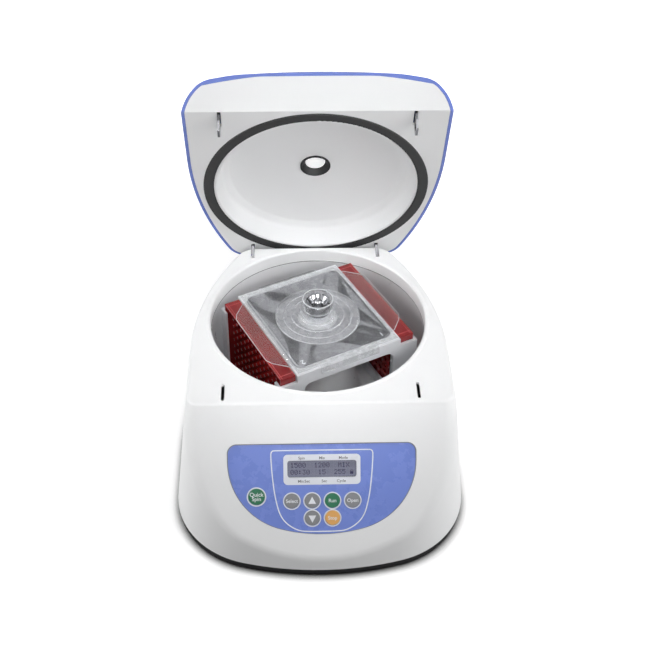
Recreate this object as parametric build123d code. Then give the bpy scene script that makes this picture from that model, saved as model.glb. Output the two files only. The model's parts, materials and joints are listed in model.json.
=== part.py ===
"""Bench centrifuge and vortex mixer for two well plates, lid open.

Millimetres, +Z up, +Y towards the hinge. The origin is on the bench, under the middle of the open
instrument. Everything is drawn about the chamber axis and moved by chamber_y when it is written out.
"""
from math import atan2, cos, degrees, hypot, radians, sin, sqrt, tan
import os

from build123d import *

os.makedirs("parts", exist_ok=True)

# Place of the chamber axis behind the origin
chamber_y = 29.7

# Housing
deck_height = 143.0
nose_height = 22.0
deck_margin = 18.1
rear_margin = 6.6
crease_margin = 15.2
side_draft = 6.9
slope_angle = 53.2
nose_arc = 296.0
front_corner = 90.0
bow_start = -46.0
bow_arc = 296.0
rear_corner = 40.0
housing_wall = 3.0
slope_wall = 5.0
ridge_radius = 14.0
deck_edge_radius = 4.0

# Base pan and feet
foot_height = 4.0
foot_radius = 9.5
foot_side_insets = (37.5, 54.5)
foot_end_insets = (64.0, 45.0)
pan_slab = 6.0
pan_floor = 3.0
pan_inset = 0.8
pan_rim_height = 4.0
pan_rim_wall = 2.5
pan_border = 9.0

# Screws that close the housing from below
screw_radius = 2.0
screw_head_radius = 4.0
screw_head_height = 2.4
screw_reach = 20.0
hole_clearance = 0.1
boss_radius = 5.0
boss_height = 38.0
boss_side_inset = 10.5
boss_rear_inset = 8.5
boss_nose_inset = 18.0
post_place = 60.0
post_radius = 6.0

# Chamber mouth and bowl
rotor_sweep_gap = 5.9
mouth_lip_depth = 14.0
mouth_lip_wall = 3.0
mouth_bead_height = 0.6
mouth_bead_width = 4.9
bowl_inset = 0.4
bowl_wall = 2.6
bowl_depth = 100.0
bowl_draft = 1.5
bowl_floor_fillet = 22.0
dome_radius = 44.0
dome_top_radius = 38.0
dome_height = 52.0
dome_fillet = 5.0

# Drive under the dome
shaft_radius = 4.0
shaft_reach = 78.0
bearing_radius = 11.0
bearing_width = 7.0
bearing_fit = 0.03
press_fit = 0.02
motor_radius = 30.0
motor_length = 46.0
motor_wall = 2.5
motor_cap = 9.0
motor_plate_radius = 34.0
motor_plate_thickness = 3.0
mount_radius = 4.0
mount_length = 5.0
mount_circle = 29.0
motor_screw_circle = 20.0
motor_screw_radius = 1.5
seal_flange_radius = 12.0
seal_bore_radius = 9.0
seal_gap = 0.4
stator_inner = 17.0
stator_length = 20.0
magnet_gap = 0.8
magnet_length = 24.0

# Rotor
rotor_angle = 26.5
rotor_top_drop = 2.0
rotor_plate_thickness = 3.0
rotor_half_width = 56.0
rotor_wall = 3.0
arm_lip_thickness = 2.3
arm_drop = 8.0
rotor_height = 90.0
end_window_half_width = 50.0
end_window_drop = 14.0
end_window_rail = 8.0
end_window_corner = 8.0
side_window_margin = 9.0
arm_lip_length = 8.0
hub_boss_radius = 20.0
hub_spigot_radius = 9.9
hub_flange_radius = 22.0
hub_flange_thickness = 3.0
hub_length = 24.0
hub_barrel_radius = 10.5

# Well plates on edge
plate_length = 127.76
plate_width = 85.48
plate_height = 16.0
plate_clearance = 0.6
plate_skin = 1.3
well_pitch = 9.0
well_columns = 12
well_rows = 8
well_mouth_radius = 2.75
well_tip_radius = 1.1
well_skin = 0.6
well_depth = 13.0

# Clear rotor cover
label_thickness = 0.4
cover_skin = 1.0
label_side_margin = 2.0
label_end_margin = 5.0
cover_margin = 3.0
cover_bead_height = 1.0
cover_bead_width = 2.0
neck_radius = 15.5
neck_skin = 1.2
neck_rise = 23.0
cover_rings = [(43.0, 1.0), (35.0, 1.6), (27.0, 2.8), (19.0, 4.2)]
tab_half_width = 32.0
tab_drop = 8.0
flap_reach = 18.5
flap_half_root = 55.0
flap_half_tip = 38.0
flap_gap = 0.3
collet_radius = 12.6
collet_height = 12.5
collet_slots = 4
collet_slot_width = 1.8
pin_radius = 3.6
pin_ball_radius = 3.8
pin_travel = 3.0

# Lid, drawn closed
lid_overhang = 0.3
lip_length = 40.8
lid_tail = 12.0
lid_front_arc = 3700.0
lid_front_corner = 43.5
lid_bow_start = -48.6
lid_bow_arc = 371.0
lid_rear_corner = 25.0
lid_gap = 2.4
lid_thickness = 47.0
lid_draft = 24.0
lid_crown_length = 420.0
lid_crown_width = 700.0
lid_wall = 3.0
lid_edge_radius = 5.0
lid_seam = 0.2
lip_fold_gap = 3.2
lip_angle = 25.0
lid_open_angle = 71.9
hinge_inset = 1.05
hinge_drop = 14.5
gasket_inward = 5.0
gasket_outward = 5.5
gasket_proud = 1.0
gasket_groove = 3.0
lid_bowl_edge = 2.3
lid_bowl_depth = 23.5
lid_bowl_centre_depth = 30.5
lid_skin = 2.6
window_radius = 14.6
window_sight = 10.2
lens_radius = 13.0
lens_thickness = 2.0
lid_screw_radius = 1.4
lid_screw_head = 2.8
lid_boss_radius = 4.5

# Hinge
arm_inset = 41.0
arm_thickness = 3.0
arm_eye_radius = 4.8
arm_width = 8.0
arm_to_hinge = 1.5
arm_slot = 4.0
hinge_pin_radius = 2.0
pin_play = 0.05
washer_thickness = 1.0
ear_thickness = 2.5
bracket_reach = 11.5
bracket_screw_offset = 8.0
bracket_screw_inset = 4.5

# Latch
striker_side_inset = 16.3
striker_inset = 1.3
striker_thickness = 2.0
striker_length = 16.0
striker_depth = 15.5
deck_slot_width = 3.2
deck_slot_front_play = 4.0
deck_slot_back_play = 1.5
latch_travel = 6.0
bar_lead = 14.0
bar_thickness = 4.0
bar_height = 10.0
bar_drop = 18.0
slide_gap = 0.3

# Control panel, in the plane of the front slope: x across, s down from the crease
panel_half_width = 88.5
panel_top = 38.0
panel_bottom = 124.6
panel_bottom_arc = 150.0
panel_side_arc = 66.7
panel_corner = 9.0
panel_recess = 1.0
panel_thickness = 1.5
panel_gap = 0.3
panel_ledge = 5.0
key_radius = 6.9
quick_key_radius = 7.6
key_gap = 0.3
key_flange = 1.0
key_flange_thickness = 0.6
key_rise = 0.7
key_travel = 0.8
key_stem_radius = 1.8
switch_side = 6.0
switch_height = 2.8
board_thickness = 1.6
board_width = 120.0
board_depth = 56.0
board_rise = 10.0
board_nose_inset = 34.0
board_parts = [(-40.0, 15.0, 22.0, 16.0, 9.0), (-10.0, 30.0, 14.0, 14.0, 3.0),
               (22.0, 20.0, 10.0, 24.0, 7.0), (44.0, 35.0, 12.0, 12.0, 12.0)]
key_places = {
    "key_quick_spin": (-61.5, 88.0),
    "key_select": (-28.5, 92.5),
    "key_up": (-9.5, 92.5),
    "key_run": (9.5, 92.5),
    "key_open": (28.5, 92.5),
    "key_down": (-9.5, 109.0),
    "key_stop": (9.5, 109.0),
}
bezel_width = 72.0
bezel_height = 28.6
bezel_s = 63.0
view_width = 64.5
view_height = 16.0
view_s = 62.5
glass_width = 70.0
glass_height = 24.0
module_width = 85.0
module_height = 37.0
keypad_main = (1.0, 99.5, 86.0, 29.0)
keypad_wing = (-54.0, 89.0, 32.0, 16.0)
keypad_posts = [(-45.0, 90.0), (-19.0, 101.0), (19.0, 101.0), (40.0, 101.0)]
display_post = (40.0, 16.5)
panel_post_radius = 2.0

# Rear connections, in the plane of the rear wall
rear_plate_width = 80.0
rear_plate_height = 30.0
rear_plate_thickness = 1.5
rear_plate_up = 30.0
rear_ledge = 5.0
jack_x = 22.0
jack_radius = 5.7
jack_bore = 3.2
jack_depth = 10.0
switch_x = -20.0
rocker_width = 8.0
rocker_length = 14.4
rocker_tilt = 8.0
rocker_pivot_radius = 1.2
rocker_pivot_reach = 1.8
rocker_pivot_depth = 2.5

# Reach of the rotor, and of the mouth that it turns in
end_wall_in = plate_length / 2 + plate_clearance
end_wall_out = end_wall_in + rotor_wall
rotor_arm_reach = (rotor_half_width + rotor_wall / 2 + plate_height + 2 * plate_clearance
                   + arm_lip_thickness)
mouth_radius = hypot(end_wall_out, rotor_arm_reach) + rotor_sweep_gap

# Housing round the mouth
shell_bottom = foot_height + pan_slab
draft_in = (deck_height - shell_bottom) * tan(radians(side_draft))
base_half_width = mouth_radius + deck_margin + draft_in
rear_reach = mouth_radius + rear_margin + draft_in
crease_reach = mouth_radius + crease_margin
nose_reach = crease_reach + (deck_height - nose_height) / tan(radians(slope_angle))
far = 3 * nose_reach
foot_places = [(base_half_width - foot_side_insets[0], foot_end_insets[0] - nose_reach),
               (base_half_width - foot_side_insets[1], rear_reach - foot_end_insets[1])]
boss_places = [(base_half_width - boss_side_inset, -90.0),
               (base_half_width - boss_side_inset, 0.0),
               (50.0, rear_reach - boss_rear_inset),
               (60.0, boss_nose_inset - nose_reach)]

# Lid, hinge and latch over the mouth
arm_x = mouth_radius - arm_inset
rear_round_y = rear_reach - rear_corner
rear_round_x = (base_half_width - bow_arc
                + sqrt((bow_arc - rear_corner) ** 2 - (rear_round_y - bow_start) ** 2))
bracket_past_round = max(0.0, arm_x + bracket_reach - rear_round_x)
rear_setback = rear_corner - sqrt(rear_corner ** 2 - bracket_past_round ** 2)
hinge_y = rear_reach - draft_in - rear_setback - housing_wall - hinge_inset
gasket_inner = mouth_radius - gasket_inward
gasket_outer = mouth_radius + gasket_outward
lid_bowl_radius = gasket_inner - lid_bowl_edge
lip_fold = gasket_outer + lip_fold_gap
lid_half_width = mouth_radius + deck_margin + lid_overhang
lid_front = lip_fold + lip_length
lid_rear = hinge_y + lid_tail
arm_back = hinge_y - arm_to_hinge
arm_front = arm_back - arm_width
bracket_screw_y = hinge_y - bracket_screw_inset
striker_x = mouth_radius - striker_side_inset
striker_y = mouth_radius - striker_inset
striker_front = striker_y + striker_length / 2
striker_back = striker_y - striker_length / 2
deck_slot_front = striker_front + deck_slot_front_play
deck_slot_back = striker_back - deck_slot_back_play
bar_front = striker_y + bar_lead

# Levels worked out from the sizes above
deck_inner = deck_height - housing_wall
lip_bottom = deck_height - mouth_lip_depth
bowl_inner = mouth_radius + bowl_inset
bowl_floor = deck_height - bowl_depth
dome_top = bowl_floor + dome_height
plate_top = deck_height - rotor_top_drop
hinge_z = deck_height - hinge_drop
lid_plane = deck_height + lid_gap
lid_top = lid_plane + lid_thickness
lid_plate = 3.0


def plan_face(half_width, front, rear, front_arc, corner, rear_round, bow=None, inset=0.0):
    """Symmetric rounded outline: bowed front, tangent corner arcs, straight or bowed sides."""
    nose_y = -front + front_arc
    corner_x = half_width - corner
    corner_y = nose_y - sqrt((front_arc - corner) ** 2 - corner_x ** 2)
    turn = degrees(atan2(corner_y - nose_y, corner_x))
    half = [
        CenterArc((0, nose_y), front_arc - inset, -90, turn + 90),
        CenterArc((corner_x, corner_y), corner - inset, turn, -turn),
    ]
    side_x = half_width - inset
    if bow:
        side_end, bow_radius = bow
        bow_x = half_width - bow_radius
        rear_y = rear - rear_round
        rear_x = bow_x + sqrt((bow_radius - rear_round) ** 2 - (rear_y - side_end) ** 2)
        swing = degrees(atan2(rear_y - side_end, rear_x - bow_x))
        half.append(Line((side_x, corner_y), (side_x, side_end)))
        half.append(CenterArc((bow_x, side_end), bow_radius - inset, 0, swing))
    else:
        rear_x, rear_y, swing = half_width - rear_round, rear - rear_round, 0
        half.append(Line((side_x, corner_y), (side_x, rear_y)))
    half.append(CenterArc((rear_x, rear_y), rear_round - inset, swing, 90 - swing))
    half.append(Line((rear_x, rear - inset), (0, rear - inset)))
    edges = half + [mirror(edge, about=Plane.YZ) for edge in half]
    return Face(Wire([edge.edge() for edge in edges]))


def body_plan(inset=0.0):
    return plan_face(base_half_width, nose_reach, rear_reach, nose_arc, front_corner,
                     rear_corner, (bow_start, bow_arc), inset)


def lid_plan(inset=0.0):
    return plan_face(lid_half_width, lid_front, lid_rear, lid_front_arc, lid_front_corner,
                     lid_rear_corner, (lid_bow_start, lid_bow_arc), inset)


def panel_outline(inset=0.0):
    return plan_face(panel_half_width, panel_bottom, -panel_top, panel_bottom_arc,
                     panel_side_arc, panel_corner, None, inset)


def box(x, y, z):
    """Box between pairs of coordinates."""
    size = (abs(x[1] - x[0]), abs(y[1] - y[0]), abs(z[1] - z[0]))
    return Pos((x[0] + x[1]) / 2, (y[0] + y[1]) / 2, (z[0] + z[1]) / 2) * Box(*size)


def rod(radius, low, high, x=0.0, y=0.0):
    """Upright cylinder between two levels."""
    return Pos(x, y, (low + high) / 2) * Cylinder(radius, high - low)


def ring(outer, inner, low, high, x=0.0, y=0.0):
    return rod(outer, low, high, x, y) - rod(inner, low - 1, high + 1, x, y)


def turned(points, radii=0.0):
    """Solid of revolution about the chamber axis from (radius, height) corners."""
    outline = FilletPolyline(*[(r, 0, z) for r, z in points], radius=radii, close=True)
    return revolve(Face(outline.wire()), axis=Axis.Z)


def plate_yz(points, centre_x, thickness, radii=0.0):
    """Flat plate across X from (y, z) corners."""
    outline = FilletPolyline(*[(0, y, z) for y, z in points], radius=radii, close=True)
    blank = extrude(Face(outline.wire()), amount=thickness / 2, both=True)
    return Pos(centre_x, 0, 0) * blank


def rounded(width, height, corner, x=0.0, y=0.0):
    return Pos(x, y) * RectangleRounded(width, height, corner)


def both_sides(shape):
    return [shape, mirror(shape, about=Plane.YZ)]


def save(name, *shapes):
    """Write one sub-part, moved from the chamber axis to the instrument's origin."""
    solids = [solid for shape in shapes for solid in shape.solids()]
    moved = [Pos(0, chamber_y, 0) * solid for solid in solids]
    export_step(moved[0] if len(moved) == 1 else Compound(moved), f"parts/{name}.step")


def slope_plane(depth=0.0):
    """Plane of the front slope: x across, y up the slope, z out of the housing."""
    normal = (0, -sin(radians(slope_angle)), cos(radians(slope_angle)))
    origin = (0, -crease_reach - depth * normal[1], deck_height - depth * normal[2])
    return Plane(origin=origin, x_dir=(1, 0, 0), z_dir=normal)


def rear_plane():
    """Plane of the rear wall: x towards the left, y up the wall, z out of the housing."""
    normal = (0, cos(radians(side_draft)), sin(radians(side_draft)))
    return Plane(origin=(0, rear_reach, shell_bottom), x_dir=(-1, 0, 0), z_dir=normal)


def on_slope(x, s, shape):
    """Place a shape drawn about its own Z at a point of the front slope."""
    return slope_plane() * Pos(x, -s, 0) * shape


def panel_hole(radius, x, s, low, high):
    return on_slope(x, s, Pos(0, 0, (low + high) / 2) * Cylinder(radius, high - low))


def panel_block(width, height, x, s, low, high, corner=0.5):
    return on_slope(x, s, extrude(Pos(0, 0, low) * rounded(width, height, corner), high - low))


def housing_form(inset, top, slope_depth):
    """Drafted block of the housing, cut by the front slope."""
    height = top - shell_bottom
    block = extrude(Pos(0, 0, shell_bottom) * body_plan(inset), amount=height, taper=side_draft)
    cutter = slope_plane(slope_depth) * Pos(0, 0, far / 2) * Box(far, far, far)
    return block - cutter


def outer_housing():
    """Outer form with the soft ridge round the slope and the rounded deck edge."""
    form = housing_form(0, deck_height, 0)
    normal = slope_plane().z_dir
    slope = [face for face in form.faces() if (face.normal_at() - normal).length < 0.01][0]
    ridge = [edge for edge in slope.edges() if edge.center().Z < deck_height - 0.5]
    form = fillet(ridge, ridge_radius)
    deck = form.faces().sort_by(Axis.Z)[-1]
    return fillet(deck.edges(), deck_edge_radius)


def cavity():
    return housing_form(housing_wall, deck_inner, slope_wall)


def all_boss_places():
    return [(side * x, y) for x, y in boss_places for side in (-1, 1)]


def all_post_places():
    return [(x, y) for x in (-post_place, post_place) for y in (-post_place, post_place)]


def upper_housing():
    outer = outer_housing()
    shell = outer - cavity()
    for x, y in all_boss_places():
        shell += rod(boss_radius, shell_bottom, shell_bottom + boss_height, x, y) & outer
    bead_top = deck_height + mouth_bead_height
    lip_outer = mouth_radius + mouth_lip_wall
    bead_outer = mouth_radius + mouth_bead_width
    lip = [(mouth_radius, lip_bottom), (mouth_radius, bead_top),
           (bead_outer - 1.4, bead_top), (bead_outer, deck_height),
           (bead_outer, deck_inner + 0.5), (lip_outer, deck_inner + 0.5), (lip_outer, lip_bottom)]
    shell -= rod(bead_outer - 0.5, deck_inner - 1, deck_height + 1)
    shell += turned(lip, [0, 2, 0.8, 0, 0, 0, 0])
    for x, y in all_boss_places():
        shell -= rod(screw_radius + hole_clearance, shell_bottom - 1,
                     shell_bottom + screw_reach, x, y)
    for side in (-1, 1):
        x = side * striker_x
        half = deck_slot_width / 2
        slot = extrude(rounded(deck_slot_width, deck_slot_front - deck_slot_back, half - 0.05,
                               x, -(deck_slot_front + deck_slot_back) / 2), amount=8)
        shell -= Pos(0, 0, deck_inner - 2) * slot
        x = side * arm_x
        shell -= box((x - arm_slot / 2, x + arm_slot / 2),
                     (arm_front - 1.5, rear_reach + 5),
                     (hinge_z - arm_eye_radius - 2, deck_height + 5))
        for offset in (-bracket_screw_offset, bracket_screw_offset):
            shell -= rod(motor_screw_radius + 0.05, deck_inner - 1, deck_inner + 2,
                         x + offset, bracket_screw_y)
    seat = panel_recess + panel_thickness
    shell -= slope_plane() * Pos(0, 0, -seat) * extrude(panel_outline(), amount=seat + 5)
    shell -= slope_plane() * Pos(0, 0, -20) * extrude(panel_outline(panel_ledge), amount=25)
    pocket = rounded(rear_plate_width + 0.4, rear_plate_height + 0.4, 3, 0, rear_plate_up)
    window = rounded(rear_plate_width - 2 * rear_ledge, rear_plate_height - 6, 2, 0, rear_plate_up)
    shell -= rear_plane() * Pos(0, 0, -rear_plate_thickness) * extrude(pocket, amount=5)
    shell -= rear_plane() * Pos(0, 0, -10) * extrude(window, amount=15)
    return shell


def base_pan():
    slab = extrude(Pos(0, 0, foot_height) * body_plan(pan_inset), amount=pan_slab)
    slab -= extrude(Pos(0, 0, foot_height + pan_floor) * body_plan(pan_border), amount=pan_slab)
    rim_inset = housing_wall + pan_rim_height * tan(radians(side_draft)) + 0.4
    rim = extrude(Pos(0, 0, shell_bottom) * body_plan(rim_inset), amount=pan_rim_height)
    rim -= extrude(Pos(0, 0, shell_bottom - 1) * body_plan(rim_inset + pan_rim_wall),
                   amount=pan_rim_height + 2)
    places = all_boss_places() + all_post_places()
    for x, y in all_boss_places():
        rim -= rod(boss_radius + 0.5, shell_bottom, shell_bottom + pan_rim_height + 1, x, y)
    pan = slab + rim
    for x, y in places:
        pan += rod(boss_radius + 2, foot_height + pan_floor, shell_bottom, x, y)
    for x, y in places:
        pan -= rod(screw_radius + hole_clearance, foot_height - 1, shell_bottom + 1, x, y)
        pan -= rod(screw_head_radius + 0.2, foot_height - 1,
                   foot_height + screw_head_height, x, y)
    return pan


def rubber_feet():
    places = [(side * x, y) for x, y in foot_places for side in (-1, 1)]
    foot = chamfer(rod(foot_radius, 0, foot_height).edges().sort_by(Axis.Z)[0], 1)
    return [Pos(x, y, 0) * foot for x, y in places]


def base_screws():
    head = rod(screw_head_radius, foot_height, foot_height + screw_head_height)
    head -= rod(1.5, foot_height - 1, foot_height + 1.5)
    screw = head + rod(screw_radius, foot_height + screw_head_height,
                       shell_bottom + screw_reach - 2)
    return [Pos(x, y, 0) * screw for x, y in all_boss_places() + all_post_places()]


def chamber_bowl():
    lower = bowl_inner - bowl_draft
    wall = bowl_wall
    inside = [(bowl_inner, lip_bottom), (lower, bowl_floor), (dome_radius, bowl_floor),
              (dome_top_radius, dome_top), (seal_bore_radius, dome_top)]
    outside = [(seal_bore_radius, dome_top - wall), (dome_top_radius - wall, dome_top - wall),
               (dome_radius - wall, bowl_floor - wall), (lower + wall, bowl_floor - wall),
               (bowl_inner + wall, lip_bottom)]
    floor = bowl_floor_fillet
    radii = [0, floor, 8, dome_fillet, 0, 0, dome_fillet - 2, 8 + wall, floor + wall, 0]
    bowl = turned(inside + outside, radii)
    for x, y in all_post_places():
        bowl += rod(post_radius, shell_bottom, bowl_floor - wall, x, y)
        bowl -= rod(screw_radius + hole_clearance, shell_bottom - 1,
                    shell_bottom + screw_reach, x, y)
    return bowl


motor_ceiling = dome_top - bowl_wall
motor_plate_top = motor_ceiling - mount_length
motor_top = motor_plate_top - motor_plate_thickness
motor_bottom = motor_top - motor_length
motor_middle = (motor_top + motor_bottom) / 2
shaft_bottom = motor_bottom + 1.5
shaft_top = shaft_bottom + shaft_reach


def drive_pieces():
    seal = ring(seal_bore_radius, shaft_radius + seal_gap, motor_ceiling, dome_top + 1)
    seal += ring(seal_flange_radius, shaft_radius + seal_gap, dome_top, dome_top + 1.5)
    save("shaft_seal", seal)

    mounts = [Pos(mount_circle * cos(radians(a)), mount_circle * sin(radians(a)), 0)
              * rod(mount_radius, motor_plate_top, motor_ceiling) for a in (90, 210, 330)]
    save("vibration_mounts", *mounts)

    places = [(motor_screw_circle * cos(radians(a)), motor_screw_circle * sin(radians(a)))
              for a in (30, 150, 270)]
    plate = ring(motor_plate_radius, bearing_radius - 2, motor_top, motor_plate_top)
    for x, y in places:
        plate -= rod(motor_screw_radius + hole_clearance, motor_top - 1, motor_plate_top + 1, x, y)
    save("motor_plate", plate)

    can = rod(motor_radius, motor_bottom, motor_top)
    can -= rod(motor_radius - motor_wall, motor_bottom + motor_cap, motor_top - motor_cap)
    can -= rod(bearing_radius, motor_top - bearing_width, motor_top + 1)
    can -= rod(bearing_radius, motor_bottom + 1, motor_bottom + 1 + bearing_width)
    can -= rod(shaft_radius + 2, motor_bottom + 1, motor_top + 1)
    for x, y in places:
        can -= rod(motor_screw_radius + 0.05, motor_top - 7, motor_top + 1, x, y)
    save("motor_can", can)

    screw = rod(motor_screw_radius, motor_top - 6, motor_plate_top)
    screw += rod(2.7, motor_plate_top, motor_plate_top + 2)
    save("motor_screws", *[Pos(x, y, 0) * screw for x, y in places])

    lower = ring(bearing_radius, shaft_radius + bearing_fit, motor_bottom + 1,
                 motor_bottom + 1 + bearing_width)
    upper = ring(bearing_radius, shaft_radius + bearing_fit, motor_top - bearing_width, motor_top)
    save("motor_bearings", lower, upper)

    half = stator_length / 2
    save("motor_stator", ring(motor_radius - motor_wall, stator_inner,
                              motor_middle - half, motor_middle + half))
    half = magnet_length / 2
    save("motor_magnet", ring(stator_inner - magnet_gap, shaft_radius + press_fit,
                              motor_middle - half, motor_middle + half))
    save("motor_shaft", rod(shaft_radius, shaft_bottom, shaft_top))


hub_flange_top = plate_top - rotor_plate_thickness - 11.0
hub_flange_bottom = hub_flange_top - hub_flange_thickness
hub_bottom = hub_flange_bottom - hub_length
collet_bottom = plate_top + 9.0
collet_top = collet_bottom + collet_height


def spun(shape):
    """Turn a rotor piece from the rotor's own axes to its photographed angle."""
    return Rot(0, 0, rotor_angle) * shape


def rotor_hub():
    hub = rod(hub_barrel_radius, hub_bottom, hub_flange_bottom)
    hub += rod(hub_flange_radius, hub_flange_bottom, hub_flange_top)
    hub += rod(hub_spigot_radius, hub_flange_top, collet_bottom)
    return hub - rod(shaft_radius + press_fit, hub_bottom - 1, shaft_top)


def rotor_frame():
    bottom = plate_top - rotor_height
    top_low = plate_top - rotor_plate_thickness
    arm_top = plate_top - arm_drop
    inner_x = rotor_half_width - rotor_wall / 2
    outer_x = rotor_half_width + rotor_wall / 2
    frame = box((-outer_x, outer_x), (-end_wall_out, end_wall_out), (top_low, plate_top))
    frame += rod(hub_boss_radius, hub_flange_top, plate_top)
    window = extrude(rounded(2 * end_window_half_width,
                             rotor_height - end_window_drop - end_window_rail,
                             end_window_corner), amount=2 * end_wall_out, both=True)
    window_z = (plate_top - end_window_drop + bottom + end_window_rail) / 2
    for side in (-1, 1):
        frame += box((-rotor_arm_reach, rotor_arm_reach),
                     (side * end_wall_in, side * end_wall_out), (bottom, arm_top))
        frame += box((-outer_x, outer_x),
                     (side * end_wall_in, side * end_wall_out), (bottom, plate_top))
        frame += box((side * inner_x, side * outer_x),
                     (-end_wall_in, end_wall_in), (bottom, plate_top))
        frame += box((side * inner_x, side * rotor_arm_reach),
                     (-end_wall_in, end_wall_in), (bottom, bottom + rotor_wall))
        lip_x = outer_x + plate_height + 2 * plate_clearance
        for end in (-1, 1):
            frame += box((side * lip_x, side * rotor_arm_reach),
                         (end * (end_wall_in - arm_lip_length), end * end_wall_in),
                         (bottom, arm_top))
    frame -= Pos(0, 0, window_z) * Rot(90, 0, 0) * window
    side_half = end_wall_in - side_window_margin
    frame -= box((-outer_x - 1, outer_x + 1), (-side_half, side_half),
                 (bottom + rotor_wall + side_window_margin, top_low - side_window_margin))
    frame += rod(hub_boss_radius, hub_flange_top, plate_top)
    frame -= rod(hub_spigot_radius + hole_clearance, hub_flange_top - 1, plate_top + 1)
    return frame


def well_plate(side):
    """One 96-well plate standing on its long edge, mouths towards the axis."""
    face_x = rotor_half_width + rotor_wall / 2 + plate_clearance
    low = plate_top - rotor_height + rotor_wall + 0.3
    blank = Box(plate_width, plate_length, plate_height)
    hollow = Box(plate_width - 2 * plate_skin, plate_length - 2 * plate_skin, plate_height)
    shell = blank - Pos(0, 0, plate_skin) * hollow
    mouths = []
    for column in range(well_columns):
        for row in range(well_rows):
            x = (row - (well_rows - 1) / 2) * well_pitch
            y = (column - (well_columns - 1) / 2) * well_pitch
            mouths.append((x, y))
    floor = -plate_height / 2
    middle = floor + plate_skin / 2 + (well_depth + well_skin) / 2
    cone = Cone(well_mouth_radius + well_skin, well_tip_radius + well_skin,
                well_depth + well_skin - plate_skin / 2)
    bore = Cone(well_mouth_radius, well_tip_radius, well_depth)
    shell += [Pos(x, y, middle - plate_skin / 4) * cone for x, y in mouths]
    shell -= [Pos(x, y, floor + well_depth / 2) * bore for x, y in mouths]
    standing = Rot(0, 90, 0) * shell
    placed = Pos(face_x + plate_height / 2, 0, low + plate_width / 2) * standing
    return placed if side > 0 else Rot(0, 0, 180) * placed


cover_low = plate_top + label_thickness
cover_high = cover_low + cover_skin
fold_x = rotor_half_width + 0.4
fold_z = (cover_low + cover_high) / 2
cover_half_x = fold_x - cover_skin / 2 - flap_gap
cover_half_y = end_wall_in


def rotor_label_plate():
    width = 2 * (cover_half_x - label_side_margin)
    length = 2 * (cover_half_y - label_end_margin)
    plate = extrude(Pos(0, 0, plate_top) * rounded(width, length, 8), amount=label_thickness)
    return plate - rod(hub_boss_radius, plate_top - 1, plate_top + 1)


def rotor_cover():
    """Clear formed sheet with stepped rings, a neck round the hub and two folded tabs."""
    first_ring = cover_rings[0][0] + 4
    sheet = box((-cover_half_x, cover_half_x), (-cover_half_y, cover_half_y),
                (cover_low, cover_high))
    outer_x, outer_y = cover_half_x - cover_margin, cover_half_y - cover_margin
    bead = rounded(2 * outer_x, 2 * outer_y, 8)
    bead -= rounded(2 * (outer_x - cover_bead_width), 2 * (outer_y - cover_bead_width), 6)
    sheet += extrude(Pos(0, 0, cover_high) * bead, amount=cover_bead_height)
    sheet -= rod(first_ring, cover_low - 1, cover_high + 1)
    top, under = [(first_ring, cover_high)], [(first_ring, cover_low)]
    rise = 0.0
    for radius, height in cover_rings:
        top += [(radius, cover_high + rise), (radius - 1.2, cover_high + height)]
        under += [(radius - cover_skin, cover_low + rise),
                  (radius - 1.2 - cover_skin, cover_low + height)]
        rise = height
    top += [(neck_radius, cover_high + rise), (neck_radius, deck_height + neck_rise)]
    under += [(neck_radius - neck_skin, cover_low + rise),
              (neck_radius - neck_skin, deck_height + neck_rise)]
    cover = sheet + turned(top + under[::-1])
    tab_out = end_wall_out + cover_skin + 0.3
    for side in (-1, 1):
        cover += box((-tab_half_width, tab_half_width),
                     (side * (cover_half_y - 1), side * tab_out), (cover_low, cover_high))
        cover += box((-tab_half_width, tab_half_width),
                     (side * (tab_out - cover_skin), side * tab_out),
                     (cover_high - tab_drop, cover_high))
    return cover


def cover_flap(side):
    """Clear flap that folds up about the edge of the cover."""
    reach = flap_reach
    outline = [(0, -flap_half_root), (reach * 0.8, -flap_half_tip - 3), (reach, -flap_half_tip + 4),
               (reach, flap_half_tip - 4), (reach * 0.8, flap_half_tip + 3), (0, flap_half_root)]
    shape = FilletPolyline(*outline, radius=[1, 4, 6, 6, 4, 1], close=True)
    blank = extrude(Face(shape.wire()), amount=cover_skin / 2, both=True)
    blank += Rot(90, 0, 0) * Cylinder(cover_skin / 2, 2 * flap_half_root - 4)
    blank &= Box(200, 2 * flap_half_root - 4, 10)
    placed = Pos(fold_x, 0, fold_z) * blank
    return placed if side > 0 else Rot(0, 0, 180) * placed


def hub_collet():
    collet = turned([(0, collet_bottom), (collet_radius, collet_bottom),
                     (collet_radius, collet_top), (collet_radius - 2, collet_top),
                     (collet_radius - 6, collet_top - 6), (0, collet_top - 6)],
                    [0, 0.8, 0.8, 0, 1.5, 0])
    for turn in range(collet_slots):
        angle = 45 + turn * 360 / collet_slots
        cut = box((4.5, collet_radius + 1), (-collet_slot_width / 2, collet_slot_width / 2),
                  (collet_top - 8, collet_top + 1))
        collet -= Rot(0, 0, angle) * cut
    return collet - rod(pin_ball_radius + 0.1, collet_bottom + 1, collet_top)


def release_pin():
    ball_z = collet_top - 2.5
    pin = rod(pin_radius, collet_bottom + 1.5 + pin_travel, ball_z)
    return pin + Pos(0, 0, ball_z) * Sphere(pin_ball_radius)


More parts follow.
